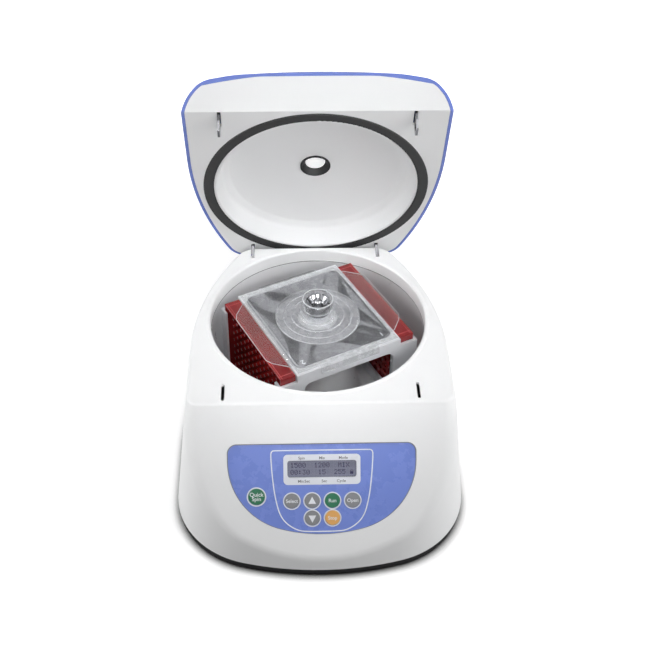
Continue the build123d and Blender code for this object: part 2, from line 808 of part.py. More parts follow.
def crown_form(inset):
    """Everything under the crown of the lid, an arc along the lid swung about a line under it."""
    along = lid_crown_length - inset
    low, side, middle = lid_plane - lid_crown_length / 6, along / 2, lid_top - lid_crown_length
    arc = CenterArc((0, middle), along, 60, 60)
    corners = [(-side, arc.position_at(1).Y), (-side, low), (side, low), (side, arc.position_at(0).Y)]
    section = Face(Wire([edge.edge() for edge in [arc, Polyline(*corners)]
                         for edge in edge.edges()]))
    upright = Plane(origin=(0, 0, 0), x_dir=(0, 1, 0), z_dir=(1, 0, 0)) * section
    spine = Axis((0, 0, lid_top - lid_crown_width), (0, 1, 0))
    return revolve(upright.rotate(spine, -20), axis=spine, revolution_arc=40)


def closed_lid_form(inset, top_inset):
    """Drafted and crowned block of the closed lid."""
    block = extrude(Pos(0, 0, lid_plane) * lid_plan(inset), amount=lid_thickness + 5,
                    taper=lid_draft)
    return block & crown_form(top_inset)


def under_lip(depth=0.0):
    """Everything below the raised front lip of the lid, or below a plane above it."""
    hinge_line = (0, -lip_fold, lid_plane)
    normal = (0, sin(radians(lip_angle)), cos(radians(lip_angle)))
    plane = Plane(origin=hinge_line, x_dir=(1, 0, 0), z_dir=normal)
    return plane * Pos(0, 0, depth - far / 2) * Box(far, far, far)


def opened(shape):
    """Swing a piece of the closed lid to its open rest place."""
    return shape.rotate(Axis((0, hinge_y, hinge_z), (1, 0, 0)), -lid_open_angle)


def lid_screw_places():
    circle = (gasket_inner + gasket_outer) / 2
    return [(circle * cos(radians(a)), circle * sin(radians(a))) for a in range(0, 360, 60)]


groove_floor = lid_plane + gasket_groove
groove_back = groove_floor + lid_plate


def lid_outer_shell():
    outer = closed_lid_form(0, 0)
    crown = outer.faces().sort_by(Axis.Z)[-1]
    outer = fillet(crown.edges(), lid_edge_radius)
    shell = outer - closed_lid_form(lid_wall, lid_wall)
    for x, y in lid_screw_places():
        shell += rod(lid_boss_radius, groove_back, lid_top, x, y) & outer
        shell -= rod(lid_screw_radius + 0.05, groove_back - 1, groove_back + 11, x, y)
    shell -= under_lip()
    shell -= rod(window_sight + 0.3, lid_plane, lid_top + 1)
    shell -= rod(lens_radius + 0.1, lid_top - lens_thickness, lid_top + 1)
    return shell


def lid_inner_shell():
    skin = lid_skin
    bowl_edge = lid_plane + lid_bowl_depth - 4
    bowl_floor_z = lid_plane + lid_bowl_depth
    centre = lid_plane + lid_bowl_centre_depth
    edge_out = gasket_outer + 2.2
    profile = [(edge_out, lid_plane), (gasket_outer, lid_plane), (gasket_outer, groove_floor),
               (gasket_inner, groove_floor), (gasket_inner, lid_plane),
               (lid_bowl_radius, lid_plane), (lid_bowl_radius - 4.5, bowl_edge),
               (lid_bowl_radius - 13, bowl_floor_z), (window_radius, centre),
               (window_radius, centre + skin), (lid_bowl_radius - 12, bowl_floor_z + skin),
               (lid_bowl_radius - 2.0, bowl_edge + 1.6), (lid_bowl_radius + 1.0, groove_back),
               (edge_out, groove_back)]
    radii = [0, 0, 0, 0, 0.6, 1.2, 5, 6, 0, 0, 6, 5, 0, 0]
    block = closed_lid_form(lid_wall + lid_seam, lid_wall + lid_seam)
    block -= under_lip()
    level = box((-far, far), (-far, far), (lid_plane, lid_plane + lid_plate))
    sheet = block & (level + (under_lip(lid_plate) & block))
    sheet -= rod(edge_out - 0.5, lid_plane - 1, lid_plane + lid_plate + 1)
    shell = sheet + (turned(profile, radii) & block)
    for side in (-1, 1):
        x = side * striker_x
        shell -= box((x - 1.8, x + 1.8), (-striker_front - 1.5, -striker_back + 2),
                     (lid_plane - 5, lid_plane + 10))
        x = side * arm_x
        shell -= box((x - arm_slot / 2, x + arm_slot / 2), (arm_front - 1, arm_back + 1.5),
                     (lid_plane - 5, lid_plane + 10))
    for x, y in lid_screw_places():
        shell -= rod(lid_screw_radius + 0.1, lid_plane, groove_back + 1, x, y)
        shell -= rod(lid_screw_head + 0.1, lid_plane, groove_floor + 1.6, x, y)
    return shell


def lid_pieces():
    save("lid_outer_shell", opened(lid_outer_shell()))
    save("lid_inner_shell", opened(lid_inner_shell()))

    low = lid_plane - gasket_proud
    gasket = turned([(gasket_inner, low), (gasket_outer, low), (gasket_outer, groove_floor),
                     (gasket_inner, groove_floor)], [1.4, 1.4, 0, 0])
    save("lid_gasket", opened(gasket))

    centre = lid_plane + lid_bowl_centre_depth
    tube = window_radius - 0.1
    ceiling = lid_top - lid_wall - 0.2
    funnel = turned([(tube - 0.6, centre - 1.6), (tube + 1.1, centre - 1.6),
                     (tube + 1.1, centre - 0.4), (tube, centre - 0.4), (tube, ceiling - 6),
                     (window_sight + 2.3, ceiling - 4), (window_sight + 2.3, ceiling),
                     (window_sight, ceiling), (window_sight, centre + 4)])
    save("window_ring", opened(funnel))
    lens = rod(lens_radius, lid_top - lens_thickness, lid_top)
    lens += rod(window_sight - 0.1, centre + 4.2, lid_top - lens_thickness)
    save("window_lens", opened(lens))

    inside = lid_plane + lid_plate
    blade = plate_yz([(-striker_front, inside + 9), (-striker_front, deck_height - 6),
                      (-striker_front + 3.5, deck_height - striker_depth),
                      (-striker_back - 3.5, deck_height - striker_depth),
                      (-striker_back, deck_height - striker_depth + 3),
                      (-striker_back, inside + 9)], striker_x, striker_thickness,
                     [1, 2, 1.5, 1.5, 1, 1])
    blade -= box((striker_x - 5, striker_x + 5), (-striker_front + 5, -striker_back - 4),
                 (deck_height - 12.2, deck_height - 6.5))
    blade += box((striker_x, striker_x + 9), (-striker_front, -striker_back),
                 (inside, inside + 2))
    save("lid_strikers", *[opened(piece) for piece in both_sides(blade)])

    eye = Pos(arm_x, hinge_y, hinge_z) * Rot(0, 90, 0) * Cylinder(arm_eye_radius, arm_thickness)
    strip = plate_yz([(arm_front, inside + 2), (arm_back, inside + 2), (arm_back, lid_plane),
                      (hinge_y + arm_eye_radius - 0.6, hinge_z + 2),
                      (hinge_y - 2, hinge_z - 3), (hinge_y - arm_eye_radius + 0.4, hinge_z + 2),
                      (arm_front, lid_plane - 2)], arm_x, arm_thickness)
    arm = eye + strip
    arm += box((arm_x, arm_x + 11), (arm_front, arm_back), (inside, inside + 2))
    arm -= (Pos(arm_x, hinge_y, hinge_z) * Rot(0, 90, 0)
            * Cylinder(hinge_pin_radius + pin_play, 20))
    save("hinge_arms", *[opened(piece) for piece in both_sides(arm)])

    screw = rod(lid_screw_head, groove_floor, groove_floor + 1.6)
    screw += rod(lid_screw_radius, groove_floor + 1.6, groove_back + 10)
    save("lid_screws", *[opened(Pos(x, y, 0) * screw) for x, y in lid_screw_places()])


def hinge_pieces():
    """Brackets under the deck, pins and friction washers, drawn for one side and mirrored."""
    inner = arm_thickness / 2 + washer_thickness + 0.1
    outer = inner + ear_thickness
    back = hinge_y + hinge_pin_radius + 1.4
    front = bracket_screw_y - 3.5
    bottom = hinge_z - arm_eye_radius - 0.5
    bracket = box((arm_x - outer, arm_x + outer), (front, back), (bottom - 2, bottom))
    for side in (-1, 1):
        bracket += box((arm_x + side * inner, arm_x + side * outer), (front, back),
                       (bottom - 2, deck_inner))
        bracket += box((arm_x + side * inner, arm_x + side * bracket_reach), (front, back),
                       (deck_inner - 2, deck_inner))
        bracket -= rod(motor_screw_radius + 0.05, deck_inner - 3, deck_inner + 1,
                       arm_x + side * bracket_screw_offset, bracket_screw_y)
    bracket &= housing_form(housing_wall + 0.2, deck_inner, slope_wall)
    along = Pos(arm_x, hinge_y, hinge_z) * Rot(0, 90, 0)
    bracket -= along * Cylinder(hinge_pin_radius + press_fit, 2 * outer + 2)
    save("hinge_brackets", *both_sides(bracket))

    pin = along * Cylinder(hinge_pin_radius, 2 * outer + 1)
    save("hinge_pins", *both_sides(pin))

    washer = Cylinder(arm_eye_radius - 0.2, washer_thickness)
    washer -= Cylinder(hinge_pin_radius + pin_play, 10)
    offset = arm_thickness / 2 + 0.05 + washer_thickness / 2
    washers = [along * Pos(0, 0, side * offset) * washer for side in (-1, 1)]
    save("friction_washers", *[piece for one in washers for piece in both_sides(one)])

    screw = rod(motor_screw_radius, deck_inner - 2, deck_inner + 1.5)
    screw += rod(2.7, deck_inner - 4, deck_inner - 2)
    screws = [Pos(arm_x + offset, bracket_screw_y, 0) * screw
              for offset in (-bracket_screw_offset, bracket_screw_offset)]
    save("bracket_screws", *[piece for one in screws for piece in both_sides(one)])


def latch_pieces():
    """Bar under the front of the deck with a tongue for each striker, its guides and its drive."""
    bar_y = (-bar_front, -bar_front + bar_thickness)
    bar_top = deck_height - bar_drop
    bar_low = bar_top - bar_height
    tongue_y = (-striker_y - 2.2, -striker_y + 3.2)
    tongue_z = (deck_height - 11.6, deck_height - 8.2)
    left_root = -striker_x - 9
    right_root = striker_x - 9
    bar = box((left_root, right_root + 3.5), bar_y, (bar_low, bar_top))
    for root in (left_root, right_root):
        bar += box((root, root + 7), tongue_y, tongue_z)
        bar += box((root, root + 3.5), (bar_y[0], tongue_y[1]), (bar_low, tongue_z[1]))
    plunger_z = bar_low - 11
    bar += box((16, 19), (-bar_front - 6, bar_y[1]), (plunger_z - 4, bar_low))
    save("latch_bar", bar)

    plunger_y = -bar_front - 2
    axis = Pos(0, plunger_y, plunger_z) * Rot(0, 90, 0)
    save("latch_plunger", axis * Pos(0, 0, -1) * Cylinder(3, 34))
    coil = box((-22, 8), (-bar_front - 9, -bar_front + 5), (plunger_z - 7, plunger_z + 7))
    coil -= axis * Pos(0, 0, -5) * Cylinder(3.1, 30)
    coil += box((-22, 8), (-bar_front + 5, -bar_front + 7), (plunger_z - 7, deck_inner))
    save("latch_actuator", coil)

    guide_x = (striker_x - 30, striker_x - 22)
    guide = box(guide_x, (bar_y[0] - 2.5, bar_y[1] + 2.5), (bar_low - 3, bar_top + 3))
    guide += box(guide_x, (bar_y[0] + 2, bar_y[1] + 2.5), (bar_top + 2, deck_inner))
    guide -= box((guide_x[0] - 2, guide_x[1] + 2), (bar_y[0] - slide_gap, bar_y[1] + slide_gap),
                 (bar_low - slide_gap, bar_top + slide_gap))
    save("latch_guides", *both_sides(guide))


def board_pieces():
    board_low = foot_height + pan_floor + board_rise
    front = board_nose_inset - nose_reach
    half = board_width / 2
    board = box((-half, half), (front, front + board_depth),
                (board_low, board_low + board_thickness))
    top = board_low + board_thickness
    for x, y, width, depth, height in board_parts:
        board += Pos(x, front + y, top + height / 2) * Box(width, depth, height)
    places = [(side * (half - 6), front + y) for side in (-1, 1) for y in (6, board_depth - 6)]
    save("control_board", board)
    save("board_spacers", *[rod(3, foot_height + pan_floor, board_low, x, y)
                            for x, y in places])


panel_under = -(panel_recess + panel_thickness)
post_end = panel_under - 7.9


def control_panel():
    """Recessed panel plate with the holes for keys and display and the posts behind it."""
    plate = slope_plane() * Pos(0, 0, panel_under) * extrude(panel_outline(panel_gap),
                                                               amount=panel_thickness)
    for x, s in keypad_posts:
        plate += panel_hole(panel_post_radius, x, s, post_end + board_thickness, panel_under)
    for side_x in (-1, 1):
        for side_s in (-1, 1):
            plate += panel_hole(panel_post_radius, side_x * display_post[0],
                                view_s + side_s * display_post[1], post_end, panel_under)
    for name, (x, s) in key_places.items():
        plate -= panel_hole(key_size(name) + key_gap, x, s, -8, 1)
    plate -= panel_block(bezel_width + 0.2, bezel_height + 0.2, 0, bezel_s, -8, 1, 4)
    return plate


def key_size(name):
    return quick_key_radius if name == "key_quick_spin" else key_radius


def key(name):
    """Round key cap with a retaining flange and a stem for its switch."""
    radius = key_size(name)
    flange_top = panel_under - key_gap
    flange_low = flange_top - key_flange_thickness
    top = -panel_recess + key_rise
    cap = Pos(0, 0, (top + flange_low) / 2) * Cylinder(radius, top - flange_low)
    cap = fillet(cap.edges().sort_by(Axis.Z)[-1], 0.4)
    cap += (Pos(0, 0, (flange_top + flange_low) / 2)
            * Cylinder(radius + key_flange, key_flange_thickness))
    cap += Pos(0, 0, flange_low - 0.5) * Cylinder(key_stem_radius, 1.0)
    x, s = key_places[name]
    return on_slope(x, s, cap)


stem_end = panel_under - key_gap - key_flange_thickness - 1.0
switch_top = stem_end - key_travel - 0.1
keypad_top = post_end + board_thickness


def key_switches():
    plunger_low = keypad_top + switch_height
    switches = []
    for x, s in key_places.values():
        body = panel_block(switch_side, switch_side, x, s, keypad_top, plunger_low)
        body += panel_hole(1.7, x, s, plunger_low - 0.2, switch_top)
        switches.append(body)
    return switches


def keypad_board():
    outlines = [Pos(x, -s) * Rectangle(width, length)
                for x, s, width, length in (keypad_main, keypad_wing)]
    sheet = extrude(outlines[0] + outlines[1], amount=board_thickness)
    return slope_plane() * Pos(0, 0, post_end) * sheet


def display_pieces():
    front = -panel_recess + 0.2
    bezel = panel_block(bezel_width, bezel_height, 0, bezel_s, panel_under, front, 4)
    bezel += panel_block(bezel_width + 2.4, bezel_height + 2.4, 0, bezel_s,
                         panel_under - 0.8, panel_under, 4)
    bezel -= panel_block(view_width + 0.2, view_height + 0.2, 0, view_s, -8, 1, 2.5)
    save("display_bezel", bezel)
    back = panel_under - 0.8
    window = panel_block(view_width, view_height, 0, view_s, back, front - 0.3, 2.4)
    window += panel_block(view_width + 3, view_height + 3, 0, view_s, back - 0.8, back, 2.4)
    save("display_window", window)
    module = panel_block(glass_width, glass_height, 0, view_s, post_end, back - 1.1, 1)
    module += panel_block(module_width, module_height, 0, view_s,
                          post_end - board_thickness, post_end, 1)
    save("display_module", module)


def rear_pieces():
    plane = rear_plane()
    plate = extrude(Pos(0, 0, -rear_plate_thickness)
                    * rounded(rear_plate_width, rear_plate_height, 3, 0, rear_plate_up),
                    amount=rear_plate_thickness)
    plate -= Pos(jack_x, rear_plate_up, 0) * Cylinder(jack_radius + 0.1, 10)
    frame_width, frame_length = rocker_width + 5, rocker_length + 5
    plate -= Pos(switch_x, rear_plate_up, 0) * Box(frame_width, frame_length, 10)
    save("rear_plate", plane * plate)

    inlet = Pos(jack_x, rear_plate_up, -0.35) * Cylinder(jack_radius, 2.3)
    inlet += (Pos(jack_x, rear_plate_up, -rear_plate_thickness - 6.5) * Box(14, 14, 13))
    inlet -= Pos(jack_x, rear_plate_up, 0.8 - jack_depth / 2) * Cylinder(jack_bore, jack_depth)
    save("power_inlet", plane * inlet)

    frame = Pos(switch_x, rear_plate_up, 0.5) * Box(frame_width + 3, frame_length + 3, 1)
    frame += (Pos(switch_x, rear_plate_up, -6.5)
              * Box(frame_width - 0.2, frame_length - 0.2, 14))
    frame -= (Pos(switch_x, rear_plate_up, -3.5)
              * Box(rocker_width + 0.6, rocker_length + 2.2, 12))
    pivot = Pos(0, 0, -rocker_pivot_depth) * Rot(0, 90, 0)
    frame -= (Pos(switch_x, rear_plate_up, 0) * pivot
              * Cylinder(rocker_pivot_radius + 0.1, rocker_width + 2 * rocker_pivot_reach + 0.4))
    save("switch_frame", plane * frame)

    half = rocker_length / 2
    outline = [(-half, 1.8), (0, 0.6), (half, 1.8), (half - 1.6, -6), (1.6 - half, -6)]
    shape = Face(Polyline(*[(0, up, out) for up, out in outline], close=True).wire())
    rocker = extrude(shape, amount=rocker_width / 2, both=True)
    rocker += pivot * Cylinder(rocker_pivot_radius, rocker_width + 2 * rocker_pivot_reach)
    tilted = (Pos(0, 0, -rocker_pivot_depth) * Rot(-rocker_tilt, 0, 0)
              * Pos(0, 0, rocker_pivot_depth) * rocker)
    save("power_rocker", plane * Pos(switch_x, rear_plate_up, 0) * tilted)


save("upper_housing", upper_housing())
save("base_pan", base_pan())
save("rubber_feet", *rubber_feet())
save("base_screws", *base_screws())
save("chamber_bowl", chamber_bowl())
drive_pieces()
save("rotor_hub", rotor_hub())
save("rotor_frame", spun(rotor_frame()))
save("well_plate_left", spun(well_plate(-1)))
save("well_plate_right", spun(well_plate(1)))
save("rotor_label_plate", spun(rotor_label_plate()))
save("rotor_cover", spun(rotor_cover()))
save("cover_flap_left", spun(cover_flap(-1)))
save("cover_flap_right", spun(cover_flap(1)))
save("hub_collet", spun(hub_collet()))
save("release_pin", spun(release_pin()))
lid_pieces()
hinge_pieces()
latch_pieces()
board_pieces()
save("control_panel", control_panel())
save("keypad_board", keypad_board())
save("key_switches", *key_switches())
for key_name in key_places:
    save(key_name, key(key_name))
display_pieces()
rear_pieces()
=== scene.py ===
"""Looks of a bench centrifuge and vortex mixer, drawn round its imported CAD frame. Metres."""
import json
import math

import bmesh
import bpy
from mathutils import Matrix, Vector


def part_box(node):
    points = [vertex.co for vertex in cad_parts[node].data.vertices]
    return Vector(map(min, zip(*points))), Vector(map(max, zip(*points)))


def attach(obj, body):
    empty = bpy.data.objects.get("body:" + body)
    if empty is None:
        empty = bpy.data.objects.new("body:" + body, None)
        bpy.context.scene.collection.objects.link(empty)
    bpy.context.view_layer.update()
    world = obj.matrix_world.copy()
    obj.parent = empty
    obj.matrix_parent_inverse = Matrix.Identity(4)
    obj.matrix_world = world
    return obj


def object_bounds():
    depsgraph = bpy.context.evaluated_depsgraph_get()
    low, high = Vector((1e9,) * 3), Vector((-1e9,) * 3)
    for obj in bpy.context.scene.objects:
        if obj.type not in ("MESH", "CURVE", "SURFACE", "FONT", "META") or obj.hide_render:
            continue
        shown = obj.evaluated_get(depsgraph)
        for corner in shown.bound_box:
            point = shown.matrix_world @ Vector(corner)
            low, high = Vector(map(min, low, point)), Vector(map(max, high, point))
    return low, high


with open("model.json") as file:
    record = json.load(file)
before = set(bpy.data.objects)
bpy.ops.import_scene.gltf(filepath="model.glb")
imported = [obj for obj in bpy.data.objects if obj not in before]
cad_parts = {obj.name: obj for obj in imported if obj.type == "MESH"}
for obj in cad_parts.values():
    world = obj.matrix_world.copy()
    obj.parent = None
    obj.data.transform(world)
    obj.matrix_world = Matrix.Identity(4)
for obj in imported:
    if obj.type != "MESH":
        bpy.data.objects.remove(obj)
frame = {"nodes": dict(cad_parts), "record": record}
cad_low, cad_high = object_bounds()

MM = 0.001
nodes = frame["nodes"]
joints = {joint["name"]: joint for joint in frame["record"]["behaviour"]["joints"]}


def middle(name):
    low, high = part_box(name)
    return (low + high) / 2


# Camera and picture frame
PICTURE = 665
CAMERA_AZIMUTH = math.radians(-1.953)
CAMERA_ELEVATION = math.radians(41.34)
CAMERA_ROLL = math.radians(0.573)
CAMERA_DISTANCE = 1.1476
CAMERA_LENS = 60.88
SENSOR_WIDTH = 36
AIM_BELOW_DECK = 15.9 * MM
OPTICAL_X, OPTICAL_Y = 317.56, 327.72

spin_axis = Vector(joints["rotor_spin"]["pos_m"])
DECK_WALL = 3 * MM
deck_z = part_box("latch_guides")[1].z + DECK_WALL


def make_camera():
    azimuth, elevation = CAMERA_AZIMUTH, CAMERA_ELEVATION
    back = Vector((math.sin(azimuth) * math.cos(elevation),
                   -math.cos(azimuth) * math.cos(elevation), math.sin(elevation)))
    right = (-back).cross(Vector((0, 0, 1))).normalized()
    up = right.cross(-back)
    turned_right = right * math.cos(CAMERA_ROLL) + up * math.sin(CAMERA_ROLL)
    turned_up = up * math.cos(CAMERA_ROLL) - right * math.sin(CAMERA_ROLL)
    aim = Vector((spin_axis.x, spin_axis.y, deck_z - AIM_BELOW_DECK))
    data = bpy.data.cameras.new("camera")
    data.lens = CAMERA_LENS
    data.sensor_width = SENSOR_WIDTH
    data.shift_x = 0.5 - OPTICAL_X / PICTURE
    data.shift_y = OPTICAL_Y / PICTURE - 0.5
    camera = bpy.data.objects.new("camera", data)
    turn = Matrix((turned_right, turned_up, back)).transposed().to_4x4()
    camera.matrix_world = Matrix.Translation(aim + back * CAMERA_DISTANCE) @ turn
    bpy.context.scene.collection.objects.link(camera)
    bpy.context.scene.camera = camera


make_camera()


# Materials

class Nodes:
    """Small helper that adds and links shader nodes of one material."""

    def __init__(self, name):
        self.material = bpy.data.materials.new(name)
        self.material.use_nodes = True
        self.tree = self.material.node_tree
        self.shader = self.tree.nodes["Principled BSDF"]
        self.place = self.add("ShaderNodeTexCoord").outputs["Object"]

    def add(self, kind, **settings):
        node = self.tree.nodes.new(kind)
        for key, value in settings.items():
            setattr(node, key, value)
        return node

    def link(self, start, end):
        self.tree.links.new(start, end)

    def set(self, **values):
        for key, value in values.items():
            self.shader.inputs[key.replace("_", " ")].default_value = value

    def stretched(self, scale):
        mapping = self.add("ShaderNodeMapping")
        mapping.inputs["Scale"].default_value = scale
        self.link(self.place, mapping.inputs["Vector"])
        return mapping.outputs["Vector"]

    def noise(self, scale, detail=2.0, rough=0.5, place=None):
        node = self.add("ShaderNodeTexNoise")
        node.inputs["Scale"].default_value = scale
        node.inputs["Detail"].default_value = detail
        node.inputs["Roughness"].default_value = rough
        self.link(place or self.place, node.inputs["Vector"])
        return node.outputs["Fac"]

    def spread(self, value, low, high, start=0.3, end=0.7):
        node = self.add("ShaderNodeMapRange")
        node.inputs["From Min"].default_value = start
        node.inputs["From Max"].default_value = end
        node.inputs["To Min"].default_value = low
        node.inputs["To Max"].default_value = high
        self.link(value, node.inputs["Value"])
        return node.outputs["Result"]

    def ramp(self, value, stops):
        node = self.add("ShaderNodeValToRGB")
        elements = node.color_ramp.elements
        while len(elements) < len(stops):
            elements.new(0.5)
        for element, (at, color) in zip(elements, stops):
            element.position = at
            element.color = (*color, 1)
        self.link(value, node.inputs["Fac"])
        return node.outputs["Color"]

    def bump(self, height, strength, distance):
        node = self.add("ShaderNodeBump")
        node.inputs["Strength"].default_value = strength
        node.inputs["Distance"].default_value = distance
        self.link(height, node.inputs["Height"])
        self.link(node.outputs["Normal"], self.shader.inputs["Normal"])


def shade(color, factor):
    return tuple(min(1.0, part * factor) for part in color)


def moulded(name, color, rough, mottle=0.03, grain=900, depth=0.03, coat=0.0, sheen=0.04):
    """Moulded plastic: faint cloudy tone, uneven gloss and a fine skin."""
    make = Nodes(name)
    cloud = make.noise(9, 4, 0.6)
    make.link(make.ramp(cloud, [(0.3, shade(color, 1 - mottle)), (0.7, shade(color, 1 + mottle))]),
              make.shader.inputs["Base Color"])
    make.link(make.spread(make.noise(45, 5, 0.65), rough - sheen, rough + sheen),
              make.shader.inputs["Roughness"])
    make.bump(make.noise(grain, 3, 0.6), depth, 0.0002)
    if coat:
        make.set(Coat_Weight=coat, Coat_Roughness=0.08)
    return make.material


def metal(name, color, rough, stretch=(1, 1, 1), scratches=600, metallic=1.0, depth=0.05):
    """Metal with directional polish marks and slightly uneven tone."""
    make = Nodes(name)
    along = make.stretched(stretch)
    cloud = make.noise(20, 3, 0.6)
    make.link(make.ramp(cloud, [(0.3, shade(color, 0.93)), (0.7, shade(color, 1.05))]),
              make.shader.inputs["Base Color"])
    lines = make.noise(scratches, 4, 0.7, along)
    make.link(make.spread(lines, rough * 0.75, rough * 1.3), make.shader.inputs["Roughness"])
    make.bump(lines, depth, 0.0001)
    make.set(Metallic=metallic)
    return make.material


def clear(name, tint, alpha, rough=0.04, ior=1.49):
    """Clear moulded plastic with faint flow marks and fine handling haze."""
    make = Nodes(name)
    flow = make.noise(14, 3, 0.55, make.stretched((1.0, 2.5, 1.0)))
    make.link(make.ramp(flow, [(0.3, shade(tint, 0.97)), (0.7, tint)]),
              make.shader.inputs["Base Color"])
    make.link(make.spread(make.noise(120, 4, 0.7), rough * 0.6, rough * 1.8),
              make.shader.inputs["Roughness"])
    make.bump(flow, 0.05, 0.0004)
    make.set(Transmission_Weight=1.0, IOR=ior, Alpha=alpha)
    return make.material


def translucent_red():
    """Dark red polymer that lets a little light through, brighter where it is thin."""
    make = Nodes("plate_red")
    cloud = make.noise(30, 4, 0.6)
    make.link(make.ramp(cloud, [(0.3, (0.25, 0.013, 0.015)), (0.7, (0.37, 0.028, 0.030))]),
              make.shader.inputs["Base Color"])
    make.link(make.spread(make.noise(260, 3, 0.6), 0.10, 0.24), make.shader.inputs["Roughness"])
    make.bump(make.noise(1500, 2, 0.5), 0.04, 0.0002)
    make.set(Transmission_Weight=0.35, IOR=1.5, Subsurface_Weight=0.15, Subsurface_Scale=0.003)
    return make.material


def printed_circuit():
    """Green solder resist over a faint pattern of copper tracks."""
    make = Nodes("board_green")
    tracks = make.add("ShaderNodeTexBrick")
    tracks.inputs["Scale"].default_value = 120
    tracks.inputs["Mortar Size"].default_value = 0.03
    tracks.inputs["Color1"].default_value = (0.01, 0.10, 0.035, 1)
    tracks.inputs["Color2"].default_value = (0.012, 0.13, 0.045, 1)
    tracks.inputs["Mortar"].default_value = (0.03, 0.22, 0.08, 1)
    make.link(make.place, tracks.inputs["Vector"])
    make.link(tracks.outputs["Color"], make.shader.inputs["Base Color"])
    make.link(make.spread(make.noise(90), 0.25, 0.4), make.shader.inputs["Roughness"])
    make.bump(tracks.outputs["Fac"], 0.2, 0.0002)
    return make.material


def display_glow():
    """Back-lit grey-blue ground of the character display, with its faint cell grid."""
    make = Nodes("display_ground")
    cells = make.add("ShaderNodeTexBrick", offset=0.0)
    cells.inputs["Scale"].default_value = 1
    cells.inputs["Brick Width"].default_value = 0.0037
    cells.inputs["Row Height"].default_value = 0.006
    cells.inputs["Mortar Size"].default_value = 0.0003
    cells.inputs["Color1"].default_value = (0.15, 0.155, 0.22, 1)
    cells.inputs["Color2"].default_value = (0.16, 0.165, 0.23, 1)
    cells.inputs["Mortar"].default_value = (0.19, 0.195, 0.26, 1)
    make.link(make.place, cells.inputs["Vector"])
    make.link(cells.outputs["Color"], make.shader.inputs["Base Color"])
    make.link(cells.outputs["Color"], make.shader.inputs["Emission Color"])
    make.set(Emission_Strength=0.06)
    make.link(make.spread(make.noise(60), 0.3, 0.45), make.shader.inputs["Roughness"])
    return make.material


def painted_glow_lens():
    """Milky disc with a painted glow, emission standing in for the daylight over the lid that
    shines through.
    """
    make = Nodes("lens_white")
    make.link(make.ramp(make.noise(60, 3), [(0.3, (0.80, 0.81, 0.81)), (0.7, (0.86, 0.87, 0.87))]),
              make.shader.inputs["Base Color"])
    make.link(make.spread(make.noise(200, 3), 0.2, 0.35), make.shader.inputs["Roughness"])
    make.bump(make.noise(500, 2), 0.05, 0.0002)
    # Painted light: emission in place of light passing through the lens
    make.set(Emission_Color=(1, 1, 1, 1), Emission_Strength=0.4)
    return make.material


WHITE = (0.84, 0.845, 0.85)
BLUE = (0.135, 0.205, 0.62)
looks = {
    "housing_white": moulded("housing_white", WHITE, 0.34, 0.006, sheen=0.01),
    "lid_blue": moulded("lid_blue", BLUE, 0.24, 0.04, coat=0.35),
    "base_black": moulded("base_black", (0.006, 0.006, 0.007), 0.7, 0.2, 1400, 0.25),
    "bowl_grey": moulded("bowl_grey", (0.76, 0.76, 0.77), 0.30, 0.03, 700, 0.05),
    "black_rubber": moulded("black_rubber", (0.016, 0.016, 0.017), 0.62, 0.25, 1800, 0.3),
    "black_plastic": moulded("black_plastic", (0.007, 0.007, 0.008), 0.48, 0.2, 1200, 0.1),
    "clear_plastic": clear("clear_plastic", (0.95, 0.96, 0.97), 0.20, 0.24),
    "clear_flap": clear("clear_flap", (0.96, 0.95, 0.96), 0.34),
    "plate_red": translucent_red(),
    "rotor_grey": metal("rotor_grey", (0.63, 0.64, 0.66), 0.42, (1, 1, 1), 900, 0.2, 0.06),
    "label_grey": moulded("label_grey", (0.35, 0.355, 0.375), 0.6, 0.04, 1600, 0.05),
    "chrome_steel": metal("chrome_steel", (0.36, 0.365, 0.38), 0.08, (1, 1, 8), 700),
    "steel": metal("steel", (0.55, 0.56, 0.58), 0.30, (1, 6, 1), 900),
    "dark_steel": metal("dark_steel", (0.17, 0.17, 0.18), 0.20, (1, 6, 1), 900),
    "zinc_steel": metal("zinc_steel", (0.66, 0.67, 0.68), 0.33, (4, 1, 1), 500),
    "aluminium": metal("aluminium", (0.70, 0.71, 0.73), 0.28, (1, 1, 10), 700),
    "bronze": metal("bronze", (0.48, 0.30, 0.13), 0.4, (1, 1, 1), 800),
    "copper_winding": metal("copper_winding", (0.55, 0.22, 0.09), 0.35, (1, 1, 14), 1500, 1, 0.5),
    "magnet_black": metal("magnet_black", (0.07, 0.07, 0.075), 0.5, (1, 1, 1), 500, 0.5),
    "board_green": printed_circuit(),
    "panel_blue": moulded("panel_blue", (0.155, 0.235, 0.66), 0.27, 0.008, 1500, 0.03, 0.2),
    "bezel_white": moulded("bezel_white", (0.76, 0.78, 0.84), 0.3, 0.02, coat=0.2),
    "screen": clear("screen", (0.97, 0.98, 0.98), 0.07, 0.02),
    "screen_module": moulded("screen_module", (0.25, 0.27, 0.30), 0.4, 0.05),
    "key_grey": moulded("key_grey", (0.23, 0.235, 0.25), 0.36, 0.05, 1500, 0.1),
    "key_green": moulded("key_green", (0.012, 0.15, 0.07), 0.34, 0.06, 1500, 0.1),
    "key_amber": moulded("key_amber", (0.76, 0.40, 0.12), 0.34, 0.05, 1500, 0.1),
    "lens_white": painted_glow_lens(),
}


def set_input(material, name, value):
    material.node_tree.nodes["Principled BSDF"].inputs[name].default_value = value


set_input(looks["base_black"], "Specular IOR Level", 0.2)
slots = {part["node"]: part["material_slot"] for part in frame["record"]["subparts"]}
slots.update(lid_strikers="dark_steel", hinge_arms="dark_steel", window_lens="lens_white",
             cover_flap_left="clear_flap", cover_flap_right="clear_flap")
for node_name, node_object in nodes.items():
    node_object.data.materials.clear()
    node_object.data.materials.append(looks[slots[node_name]])
